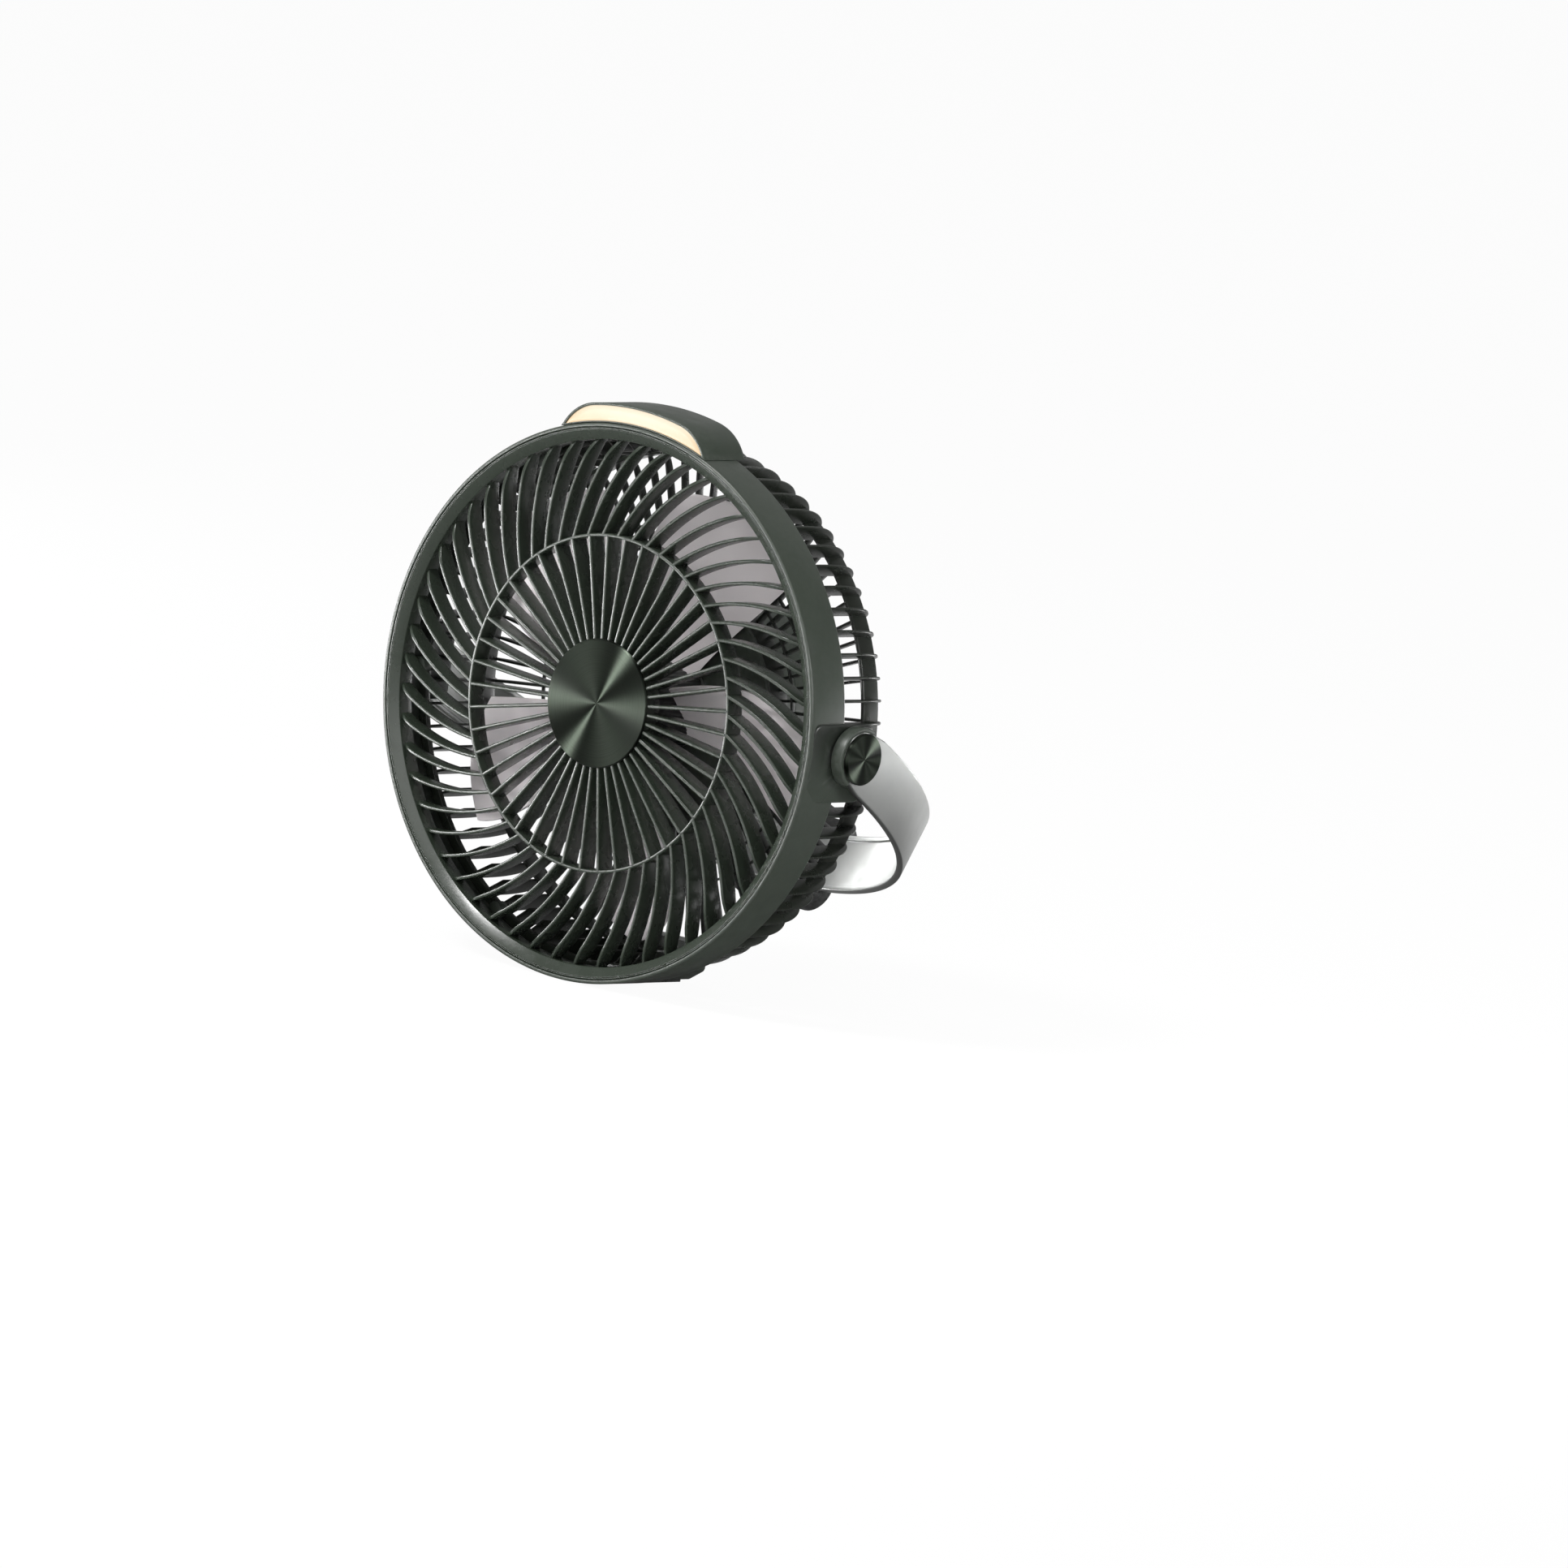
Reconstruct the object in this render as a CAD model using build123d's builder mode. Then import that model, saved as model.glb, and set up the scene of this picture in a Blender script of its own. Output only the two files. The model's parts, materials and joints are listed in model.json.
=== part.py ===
"""Portable camping fan: round guard, lamp, battery drum and a hoop stand on two side pivots.

Frame, in millimetres: the origin is on the table, on the underside of the foot pad, right below the
stand's pivot axis. +X is the fan's right as seen from its front, -Y is the way the air leaves and +Z is up.
A depth is measured from the front of the rim towards the rear.
"""

import os
from math import cos, degrees, radians, sin, sqrt

from build123d import *

# ---------------------------------------------------------------- driving dimensions
rim_radius = 110.0            # outside of the body band; the fan's axis is this high above the table
pivot_depth = 23.3            # stand pivot axis behind the front of the rim
fit_gap = 0.2                 # between pieces that nest in each other and stay put
running_gap = 0.04            # radial, between a shaft or screw and what turns on it
free_gap = 0.4                # between neighbours that move past each other
slip_gap = 0.1                # axial, between faces that turn on each other
thin_wall = 2.0               # moulded shells
hole_floor = 1.0              # left under a blind hole
cut_reach = 1.0               # how far a cut runs past the face that it opens

# body band
band_depth = 20.5
band_wall = 3.0
band_edge = 1.2               # rounding of its rear edge
lip_depth = 3.2               # recess at the front that takes the grille's rim
lip_wall = 1.6
lip_chamfer = 0.56

# front grille
grille_set_back = 0.8         # face of the ribs behind the rim
grille_rib_depth = 8.5
rib_width = 1.4
inner_rib_count = 45
outer_rib_count = 55
mid_ring_radius = 66.0
guard_rim_width = 6.6         # from the outside of the band to the tips of the ribs
skirt_depth = 10.0
slope_depth = 2.6             # inner end of the rim's slope
slope_width = 3.8             # of the rim's slope, seen from the front
rim_face_set_back = 0.3
rib_bend_length = 7.4         # end of a swept rib that bends back
rib_bend_depth = 1.4
rib_tip_drop = 2.6
rib_tip_curl = 0.3            # share of the drop that is reached halfway along the bend
outer_rib_sweep = 16.5        # degrees turned clockwise on the way out
outer_rib_arc = 91.3          # radius of each swept rib
hub_cap_radius = 25.4
hub_cap_thickness = 1.2
hub_cap_overhang = 0.8        # of the cap beyond its seat
hub_seat_thickness = 1.8

# lamp
lamp_rise = 7.8               # above the band
lamp_wall = 1.2
lamp_depth = 27.0
lamp_top_angle = 15.6         # half of the arc that has full height
lamp_foot_angle = 20.4        # half of the arc on the band
lamp_corner = 5.0
lamp_rear_edge = 4.0          # rounding of its rear edge
lens_thickness = 2.5
lens_recess = 0.4
led_count = 5
led_size = 3.0
led_height = 1.0
led_board_thickness = 1.0
led_board_set_back = 9.0

# rear cage
cage_depth = 55.0
fin_count = 72
fin_width = 1.4
fin_height = 7.0              # from a fin's outer line to its inner edge
fin_root_inset = 4.4          # of a fin's outer line inside the band's outside, at the band
fin_tip_inset = 7.0           # the same at the rear
fin_corner = 5.0
fin_bulge = 0.9               # of a fin's outer line between the band and its rear corner
fin_taper = 2.0               # a fin is this much lower at the band
fin_bite = 1.0                # how far a fin runs into the hoop and the flange
hoop_inset = 1.8              # of the hoop inside the fins' inner edge
hoop_wall = 2.0
hoop_length = 11.0            # from the rear of the cage
face_rib_depth = 4.0
collar_wall = 2.0
collar_length = 7.6           # from the rear of the cage
ring_step = 0.5               # the hoop ends this far inside the cage's rear, and the collar stands out as far
ring_count = 5                # between the collar and the hoop
ring_width = 1.6
flange_width = 4.2
flange_thickness = 2.4
cage_screw_count = 6
cage_screw_angle = 0.5 * 360 / fin_count    # of the first one, between two fins
cage_post_radius = 3.4
cage_post_length = 5.0
cage_screw_radius = 1.25
cage_screw_hold = 3.5         # length held in a post
cage_screw_head_radius = 2.4
screw_head_height = 1.6

# foot
foot_half_width = 20.5
foot_flat_half_width = 13.0
foot_reach = 9.0              # behind the cage
foot_height = 16.0
foot_side_rise = 5.0          # height of the slanted sides
foot_edge = 2.5
foot_pad_thickness = 1.2
foot_pad_inset = 1.5

# rear drum
cover_depth = 18.0            # of the rear cover; the housing has the rest
drum_edge = 5.0
drum_flange = 2.0             # flange width that rests on the cage's collar
drum_flange_thickness = 1.8
spigot_wall = 1.2             # of the cover, inside the housing
spigot_length = 2.0
cover_screw_angles = [0, 180, 270]
cover_screw_radius = 1.25
cover_screw_head_radius = 2.4
cover_screw_sink = 3.0
cover_screw_hold = 8.0        # length held in the housing
cover_post_radius = 3.4

# motor
motor_radius = 15.0
motor_length = 17.0
motor_wall = 1.0
motor_flange_width = 3.6
motor_flange_thickness = 1.6
motor_screw_count = 4
motor_screw_head_radius = 1.5
motor_screw_head_height = 0.9
bearing_radius = 5.0
bearing_length = 4.0
shaft_radius = 2.0
shaft_proud = 1.0             # of the shaft in front of the rotor's hub
winding_width = 4.2           # radial
winding_slot_count = 9
winding_slot = 1.2
winding_back = 1.4            # unslotted ring outside the slots
magnet_gap = 0.6              # radial, inside the winding
magnet_length = 7.0

# fan rotor
blade_count = 5
blade_tip_gap = 5.1           # between the tips and the fins
blade_tip_round = 9.5         # the tip's corners are trimmed by an arc this deep
blade_thickness = 1.8
blade_edge = 0.7              # thickness of the leading and trailing edges
blade_camber = 0.07           # share of the blade's width
blade_first_angle = 59.7      # of the first blade's tip, from the fan's right, counter-clockwise
# radius as a share of the tip's, width seen from the front, pitch in degrees, counter-clockwise offset
blade_stations = [
    (0.182, 20.0, 46.0, 3.0),
    (0.449, 35.0, 37.0, 7.5),
    (0.706, 47.0, 29.0, 7.0),
    (1.016, 47.0, 21.0, 0.0),
]
rotor_hub_radius = 20.0
rotor_hub_front = 14.0
rotor_hub_wall = 1.8
rotor_clearance = 1.2         # in front of the motor's screw heads
rotor_boss_radius = 4.6
rotor_cap_radius = 5.5
rotor_cap_height = 2.2
rotor_cap_edge = 1.0

# battery and controls
cell_radius = 9.1
cell_length = 65.2
cell_gap = 0.8                # between the two cells
cell_cover_gap = 1.0          # between the cells and the rear cover
holder_wall = 1.2
holder_gap = 1.0              # behind the motor
holder_post_gap = 2.0         # between the holder and the posts beside it
board_width = 42.0
board_height = 15.0
board_thickness = 1.6
board_holder_gap = 1.3        # above the battery holder
board_wall_gap = 1.0          # between the board's corners and the cover
board_set_back = 8.0          # from the inside of the cover to the board's front
button_spacing = 26.0
button_rise = 8.5             # above the board's lower edge
button_edge = 0.6
button_radius = 4.8
button_proud = 1.0
button_travel = 0.8
button_flange = 1.0
button_flange_thickness = 1.0
switch_size = 5.0
port_width = 9.0
port_height = 3.2
port_wall = 0.4
port_socket_depth = 6.0
light_count = 4
light_pitch = 4.0
light_radius = 0.8
light_rise = 3.0              # above the board's lower edge

# stand
stand_straight = 10.0         # straight arm before the hoop starts
stand_width = 25.0
stand_thickness = 2.0
stand_lip = 0.8               # raised lip inside both edges
stand_lip_width = 2.2
stand_rest_angle = 29.8       # below the horizontal, swung to the rear
arm_flare = 8.0               # from the pivot to where an arm has its full width
boss_proud = 1.4              # of the pivot boss beyond the band
boss_half_height = 12.4
boss_low_edge = 19.0
boss_ahead = 14.3             # of the pivot
boss_behind = 12.7
boss_corner = 4.0
washer_thickness = 0.6
hub_radius = 12.3
hub_thickness = 2.3           # between the washer and the arm
hub_pocket_wall = 1.0
pivot_screw_radius = 3.0
pivot_screw_head_radius = 5.2
pivot_screw_head_height = 1.2
pivot_cap_radius = 10.3
pivot_cap_thickness = 1.9
pivot_cap_wall = 0.4
plate_width = 49.0
plate_height = 39.0
plate_thickness = 5.0
plate_corner = 9.0
plate_pad_thickness = 1.0
plate_pad_inset = 2.0
plate_screw_spacing = 28.0
plate_screw_radius = 1.5
plate_screw_head_radius = 3.0
plate_screw_hold = 2.6        # reach beyond the hoop's outer face

# ---------------------------------------------------------------- worked-out places
axis_height = rim_radius
fan_axis = Axis((0, 0, axis_height), (0, 1, 0))

# from the band inwards
bore_radius = rim_radius - band_wall
rim_insert_radius = rim_radius - lip_wall - fit_gap
guard_clear_radius = rim_radius - guard_rim_width
slope_top_radius = guard_clear_radius + slope_width
rib_bend_radius = guard_clear_radius - rib_bend_length
ribs_back = grille_set_back + grille_rib_depth
hub_seat_radius = hub_cap_radius - hub_cap_overhang
lamp_radius = rim_radius + lamp_rise
fin_root_radius = rim_radius - fin_root_inset
fin_tip_radius = rim_radius - fin_tip_inset
fin_inner_radius = fin_root_radius - fin_height
hoop_radius = fin_inner_radius - hoop_inset
hoop_middle = hoop_radius - hoop_wall / 2
blade_tip_radius = fin_inner_radius - blade_tip_gap
flange_outer_radius = bore_radius - fit_gap
flange_inner_radius = flange_outer_radius - flange_width
flange_rear = band_depth - fit_gap
flange_middle_depth = flange_rear - flange_thickness / 2
post_front = flange_rear - flange_thickness - cage_post_length
post_pitch_radius = bore_radius - cage_post_radius

# the drum is as wide as its battery or its control board needs
cell_pitch = 2 * cell_radius + cell_gap
holder_width = cell_length + 2 * (fit_gap + holder_wall)
holder_height = 2 * (cell_pitch + holder_wall)
board_low_edge = holder_height / 2 + board_holder_gap
cover_bore_radius = max(
    holder_width / 2 + holder_post_gap + 2 * cover_post_radius + free_gap,
    sqrt((board_width / 2) ** 2 + (board_low_edge + board_height) ** 2) + board_wall_gap,
)
spigot_radius = cover_bore_radius + spigot_wall
drum_radius = spigot_radius + fit_gap + thin_wall
collar_radius = drum_radius + fit_gap
collar_middle = collar_radius + collar_wall / 2
ring_pitch = (hoop_middle - collar_middle) / (ring_count + 1)
ring_radii = [collar_middle + ring_pitch * (index + 1) for index in range(ring_count)]

# from the rear of the cage forwards, then from the motor to the rear
hoop_front = cage_depth - hoop_length
collar_front = cage_depth - collar_length
foot_end_depth = cage_depth + foot_reach
drum_front = collar_front - fit_gap - drum_flange_thickness
motor_front = drum_front - fit_gap - motor_flange_thickness
motor_rear = motor_front + motor_length
rotor_hub_rear = motor_front - motor_screw_head_height - rotor_clearance
shaft_front = rotor_hub_front - shaft_proud
blade_mid_depth = (rotor_hub_front + rotor_hub_rear) / 2
blade_front_limit = ribs_back + free_gap
holder_front = motor_rear + holder_gap
cover_inner_face = holder_front + holder_wall + 2 * cell_radius + cell_cover_gap
drum_rear = cover_inner_face + thin_wall
drum_split = drum_rear - cover_depth
board_depth = cover_inner_face - board_set_back

# places on the rear cover
button_level = board_low_edge + button_rise
light_level = board_low_edge + light_rise
button_places = [(-button_spacing / 2, button_level), (button_spacing / 2, button_level)]
light_places = [(light_pitch * (index - (light_count - 1) / 2), light_level) for index in range(light_count)]
cover_screw_pitch_radius = cover_bore_radius - free_gap - cover_post_radius
cover_screw_places = [
    (cover_screw_pitch_radius * cos(radians(angle)), cover_screw_pitch_radius * sin(radians(angle)))
    for angle in cover_screw_angles
]

# from the band outwards to the stand
boss_front_depth = pivot_depth - boss_ahead
boss_rear_depth = pivot_depth + boss_behind
boss_face = rim_radius + boss_proud
washer_face = boss_face + washer_thickness
stand_lip_face = washer_face + slip_gap + hub_thickness
stand_inner_face = stand_lip_face + stand_lip
stand_half_width = stand_inner_face + stand_thickness
stand_reach = stand_straight + stand_half_width
plate_cut = 2 * (plate_thickness + plate_pad_thickness)
plate_screw_reach = plate_screw_spacing / 2 + plate_screw_head_radius
plate_screw_seat = stand_thickness + stand_half_width - sqrt(stand_half_width**2 - plate_screw_reach**2)


def depth_to_y(depth):
    """Row Y of a depth behind the front of the rim."""
    return depth - pivot_depth


def facing_front(depth):
    """Plane across the fan at a depth, seen from the front: x right, y up, extrude > 0 goes forward."""
    return Plane(origin=(0, depth_to_y(depth), axis_height), x_dir=(1, 0, 0), z_dir=(0, -1, 0))


def section_plane():
    """Half section through the fan's axis: x is the radius and y is the depth."""
    return Plane(origin=(0, depth_to_y(0), axis_height), x_dir=(1, 0, 0), z_dir=(0, 0, 1))


def beside_pivot(side, distance):
    """Plane across the pivot axis on one side (1 right, -1 left), facing outward, with y up."""
    return Plane(origin=(side * distance, 0, axis_height), x_dir=(0, side, 0), z_dir=(side, 0, 0))


def beside_pivot_tilted(side, distance):
    """The same, with x along the stand's arms at rest."""
    out = (0, cos(radians(stand_rest_angle)), -sin(radians(stand_rest_angle)))
    return Plane(origin=(side * distance, 0, axis_height), x_dir=out, z_dir=(side, 0, 0))


def polar(radius, angle):
    """Point on a circle in a facing_front plane; the angle is in degrees, counter-clockwise from the right."""
    return (radius * cos(radians(angle)), radius * sin(radians(angle)))


def save(part, node):
    """Label a finished piece and write its STEP file."""
    part.label = node
    export_step(part, f"parts/{node}.step")


os.makedirs("parts", exist_ok=True)


# ---------------------------------------------------------------- body band
# a ring with a recess for the grille, a pivot boss on each side and posts for the cage's screws
with BuildPart() as body_band:
    with BuildSketch(section_plane()):
        with BuildLine():
            Polyline(
                (bore_radius, lip_depth),
                (rim_radius - lip_wall, lip_depth),
                (rim_radius - lip_wall, 0),
                (rim_radius, 0),
                (rim_radius, band_depth),
                (bore_radius, band_depth),
                close=True,
            )
        make_face()
    revolve(axis=fan_axis)
    circles = body_band.edges().filter_by(GeomType.CIRCLE)
    outer_edges = circles.filter_by(lambda edge: edge.radius > rim_radius - 0.01).sort_by(Axis.Y)
    chamfer(outer_edges[0], lip_chamfer)
    fillet(outer_edges[-1], band_edge)
    for side in (-1, 1):
        with BuildSketch(beside_pivot(side, boss_face)):
            boss_length = boss_rear_depth - boss_front_depth
            boss_middle = depth_to_y(boss_front_depth + boss_length / 2)
            with Locations((side * boss_middle, (boss_half_height - boss_low_edge) / 2)):
                RectangleRounded(boss_length, boss_half_height + boss_low_edge, boss_corner)
        extrude(amount=sqrt(bore_radius**2 - boss_low_edge**2) - boss_face)
    with BuildSketch(facing_front(lip_depth)):
        Circle(bore_radius)
    extrude(amount=-boss_rear_depth, mode=Mode.SUBTRACT)
    with BuildSketch(facing_front(post_front)):
        with PolarLocations(post_pitch_radius, cage_screw_count, start_angle=cage_screw_angle):
            Circle(cage_post_radius)
            with Locations((cage_post_radius / 2, 0)):
                Rectangle(cage_post_radius + band_wall / 2, cage_post_radius)
    extrude(amount=-cage_post_length)
    with BuildSketch(facing_front(post_front + hole_floor)):
        with PolarLocations(post_pitch_radius, cage_screw_count, start_angle=cage_screw_angle):
            Circle(cage_screw_radius + running_gap)
    extrude(amount=-cage_post_length, mode=Mode.SUBTRACT)
    with BuildSketch(beside_pivot(1, boss_face)):
        Circle(pivot_screw_radius + running_gap)
    extrude(amount=-2 * boss_face, mode=Mode.SUBTRACT)
save(body_band.part, "body_band")


# ---------------------------------------------------------------- front grille
# straight inner ribs, a mid ring and swept outer ribs, trimmed to the grille's section, in a sloping rim
with BuildSketch() as swept_rib:
    rib_start = polar(mid_ring_radius, 0)
    rib_end = polar(guard_clear_radius + thin_wall / 2, -outer_rib_sweep)
    chord_x = rib_end[0] - rib_start[0]
    chord_y = rib_end[1] - rib_start[1]
    chord = sqrt(chord_x**2 + chord_y**2)
    rise = outer_rib_arc - sqrt(outer_rib_arc**2 - (chord / 2) ** 2)
    rib_middle = (
        (rib_start[0] + rib_end[0]) / 2 - chord_y / chord * rise,
        (rib_start[1] + rib_end[1]) / 2 + chord_x / chord * rise,
    )
    with BuildLine():
        ThreePointArc(rib_start, rib_middle, rib_end)
    trace(line_width=rib_width)

with BuildPart() as front_grille:
    with BuildSketch(facing_front(grille_set_back)):
        with PolarLocations(0, outer_rib_count):
            add(swept_rib.sketch)
        Circle(mid_ring_radius + rib_width / 2)
        Circle(mid_ring_radius - rib_width / 2, mode=Mode.SUBTRACT)
        inner_rib_length = mid_ring_radius - hub_seat_radius + thin_wall / 2
        with PolarLocations(mid_ring_radius - inner_rib_length / 2, inner_rib_count):
            Rectangle(inner_rib_length, rib_width)
    extrude(amount=-grille_rib_depth)
    with BuildSketch(section_plane()):
        with BuildLine():
            Polyline(
                (0, hub_cap_thickness),
                (hub_cap_radius + fit_gap, hub_cap_thickness),
                (hub_cap_radius + fit_gap, grille_set_back),
                (mid_ring_radius, grille_set_back),
                (rib_bend_radius, rib_bend_depth),
            )
            ThreePointArc(
                (rib_bend_radius, rib_bend_depth),
                ((rib_bend_radius + guard_clear_radius) / 2, rib_bend_depth + rib_tip_drop * rib_tip_curl),
                (guard_clear_radius, rib_bend_depth + rib_tip_drop),
            )
            Polyline(
                (guard_clear_radius, rib_bend_depth + rib_tip_drop),
                (guard_clear_radius + thin_wall / 2, ribs_back),
                (0, ribs_back),
                (0, hub_cap_thickness),
            )
        make_face()
    revolve(axis=fan_axis, mode=Mode.INTERSECT)
    with BuildSketch(section_plane()):
        with BuildLine():
            Polyline(
                (guard_clear_radius, slope_depth),
                (slope_top_radius, rim_face_set_back),
                (rim_insert_radius, rim_face_set_back),
                (rim_insert_radius, lip_depth - fit_gap),
                (guard_clear_radius + thin_wall, lip_depth - fit_gap),
                (guard_clear_radius + thin_wall, skirt_depth),
                (guard_clear_radius, skirt_depth),
                close=True,
            )
        make_face()
        with BuildLine():
            Polyline(
                (0, hub_cap_thickness),
                (hub_seat_radius, hub_cap_thickness),
                (hub_seat_radius, ribs_back),
                (hub_seat_radius - thin_wall, ribs_back),
                (hub_seat_radius - thin_wall, hub_cap_thickness + hub_seat_thickness),
                (0, hub_cap_thickness + hub_seat_thickness),
                close=True,
            )
        make_face()
    revolve(axis=fan_axis)
save(front_grille.part, "front_grille")

with BuildPart() as hub_cap:
    with BuildSketch(facing_front(hub_cap_thickness)):
        Circle(hub_cap_radius)
    extrude(amount=hub_cap_thickness)
    chamfer(hub_cap.faces().sort_by(Axis.Y)[0].edges(), hub_cap_thickness / 2, hub_cap_thickness)
save(hub_cap.part, "hub_cap")


# ---------------------------------------------------------------- lamp
def lamp_outline(inset):
    """Arched outline that sits on the band, seen from the front."""
    top_radius = lamp_radius - inset
    low_radius = rim_radius + fit_gap + inset
    side_slope = rim_radius * radians(lamp_foot_angle - lamp_top_angle) / lamp_rise
    side_length = sqrt(1 + side_slope**2)
    top_angle = lamp_top_angle - degrees(inset * (side_length - side_slope) / lamp_radius)
    low_angle = lamp_foot_angle - degrees(inset * (side_length + side_slope) / rim_radius)
    with BuildSketch() as outline:
        with BuildLine():
            top = ThreePointArc(
                polar(top_radius, 90 + top_angle), polar(top_radius, 90), polar(top_radius, 90 - top_angle)
            )
            low = ThreePointArc(
                polar(low_radius, 90 - low_angle), polar(low_radius, 90), polar(low_radius, 90 + low_angle)
            )
            Line(top @ 1, low @ 0)
            Line(low @ 1, top @ 0)
        make_face()
        fillet(outline.vertices().sort_by(Axis.Y)[2:], lamp_corner - inset)
    return outline.sketch


with BuildPart() as lamp_housing:
    with BuildSketch(facing_front(0)):
        add(lamp_outline(0))
    extrude(amount=-lamp_depth)
    rear_edges = lamp_housing.faces().sort_by(Axis.Y)[-1].edges()
    fillet(rear_edges.filter_by(lambda edge: edge.center().Z > axis_height + rim_radius + lamp_wall), lamp_rear_edge)
    with BuildSketch(facing_front(0)):
        add(lamp_outline(lamp_wall))
    extrude(amount=-(lamp_depth - lamp_rear_edge), mode=Mode.SUBTRACT)
save(lamp_housing.part, "lamp_housing")

with BuildPart() as lamp_lens:
    with BuildSketch(facing_front(lens_recess)):
        add(lamp_outline(lamp_wall + fit_gap))
    extrude(amount=-lens_thickness)
    fillet(lamp_lens.faces().sort_by(Axis.Y)[0].edges(), lens_recess)
save(lamp_lens.part, "lamp_lens")

with BuildPart() as lamp_board:
    with BuildSketch(facing_front(led_board_set_back)):
        add(lamp_outline(lamp_wall + fit_gap))
    extrude(amount=-led_board_thickness)
save(lamp_board.part, "lamp_board")

with BuildPart() as lamp_leds:
    with BuildSketch(facing_front(led_board_set_back)):
        led_step = 2 * lamp_top_angle / led_count
        led_radius = (rim_radius + lamp_radius) / 2
        with PolarLocations(led_radius, led_count, 90 - led_step * (led_count - 1) / 2, led_step * led_count):
            Rectangle(led_size, led_size)
    extrude(amount=led_height)
save(lamp_leds.part, "lamp_leds")


# ---------------------------------------------------------------- rear cage
# thin L-shaped fins between a flange in the band, a hoop near the rear and a collar round the drum
def fin_silhouette(gap):
    """Outer line of a fin in the half section, from the band to the rear face, moved out by a gap."""
    root = (fin_root_radius + gap, band_depth)
    shoulder = (fin_tip_radius + gap, cage_depth - fin_corner)
    bulge = ((root[0] + shoulder[0]) / 2 + fin_bulge, (root[1] + shoulder[1]) / 2)
    ThreePointArc(root, bulge, shoulder)
    corner_angle = radians(45)
    corner_center = fin_tip_radius - fin_corner
    ThreePointArc(
        shoulder,
        (
            corner_center + (fin_corner + gap) * cos(corner_angle),
            cage_depth - fin_corner + (fin_corner + gap) * sin(corner_angle),
        ),
        (corner_center, cage_depth + gap),
    )


with BuildPart() as cage_fin:
    with BuildSketch(section_plane()):
        with BuildLine():
            fin_silhouette(0)
            Polyline(
                (fin_tip_radius - fin_corner, cage_depth),
                (collar_middle, cage_depth),
                (collar_middle, cage_depth - face_rib_depth),
                (hoop_middle, cage_depth - face_rib_depth),
                (hoop_middle, hoop_front + fin_bite),
                (fin_inner_radius, hoop_front + fin_bite),
                (fin_inner_radius + fin_taper, band_depth + fin_bite),
                (flange_inner_radius + fin_bite, flange_middle_depth),
                (fin_root_radius, flange_middle_depth),
                (fin_root_radius, band_depth),
            )
        make_face()
    extrude(amount=fin_width / 2, both=True)

with BuildPart() as rear_cage:
    with BuildSketch(section_plane()):
        with Locations((hoop_middle, (hoop_front + cage_depth - ring_step) / 2)):
            Rectangle(hoop_wall, hoop_length - ring_step)
        with Locations((collar_middle, (collar_front + cage_depth + ring_step) / 2)):
            Rectangle(collar_wall, collar_length + ring_step)
        with Locations(((flange_inner_radius + flange_outer_radius) / 2, flange_middle_depth)):
            Rectangle(flange_width, flange_thickness)
    revolve(axis=fan_axis)
    with BuildSketch(facing_front(flange_rear)):
        with PolarLocations(post_pitch_radius, cage_screw_count, start_angle=cage_screw_angle):
            Circle(cage_post_radius - fit_gap)
    extrude(amount=flange_thickness)
    with BuildSketch(facing_front(band_depth)):
        with PolarLocations(post_pitch_radius, cage_screw_count, start_angle=cage_screw_angle):
            Circle(cage_screw_radius + fit_gap)
    extrude(amount=flange_thickness + cut_reach, mode=Mode.SUBTRACT)
    add([cage_fin.part.rotate(fan_axis, 360 / fin_count * index) for index in range(fin_count)])
save(rear_cage.part, "rear_cage")

with BuildPart() as rear_rings:
    with BuildSketch(section_plane()):
        ring_depth = cage_depth - face_rib_depth - ring_width / 2
        with Locations([(ring_radius, ring_depth) for ring_radius in ring_radii]):
            Rectangle(ring_width, ring_width)
    revolve(axis=fan_axis)
save(rear_rings.part, "rear_rings")

with BuildPart() as cage_screws:
    with BuildSketch(facing_front(flange_rear)):
        with PolarLocations(post_pitch_radius, cage_screw_count, start_angle=cage_screw_angle):
            Circle(cage_screw_head_radius)
    extrude(amount=-screw_head_height)
    with BuildSketch(facing_front(flange_rear)):
        with PolarLocations(post_pitch_radius, cage_screw_count, start_angle=cage_screw_angle):
            Circle(cage_screw_radius)
    extrude(amount=flange_thickness + cage_screw_hold)
save(cage_screws.part, "cage_screws")


# ---------------------------------------------------------------- foot
with BuildPart() as foot:
    with BuildSketch(facing_front(band_depth + fit_gap)):
        low = foot_pad_thickness - axis_height
        with BuildLine():
            Polyline(
                (-foot_half_width, low + foot_height),
                (-foot_half_width, low + foot_side_rise),
                (-foot_flat_half_width, low),
                (foot_flat_half_width, low),
                (foot_half_width, low + foot_side_rise),
                (foot_half_width, low + foot_height),
                close=True,
            )
        outline = make_face()
        fillet(outline.vertices().sort_by(Axis.Y)[:4], foot_edge)
    extrude(amount=-(foot_end_depth - band_depth - fit_gap))
    with BuildSketch(section_plane()):
        with BuildLine():
            fin_silhouette(fit_gap)
            Polyline(
                (fin_tip_radius - fin_corner, cage_depth + fit_gap),
                (0, cage_depth + fit_gap),
                (0, 0),
                (fin_root_radius + fit_gap, 0),
                (fin_root_radius + fit_gap, band_depth),
            )
        make_face()
    revolve(axis=fan_axis, mode=Mode.SUBTRACT)
save(foot.part, "foot")

with BuildPart() as foot_pad:
    with BuildSketch(Plane.XY):
        pad_front = depth_to_y(band_depth + foot_pad_inset)
        pad_rear = depth_to_y(foot_end_depth - foot_pad_inset)
        with Locations((0, (pad_front + pad_rear) / 2)):
            RectangleRounded(2 * (foot_flat_half_width - foot_pad_inset), pad_rear - pad_front, foot_edge)
    extrude(amount=foot_pad_thickness)
save(foot_pad.part, "foot_pad")


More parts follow.
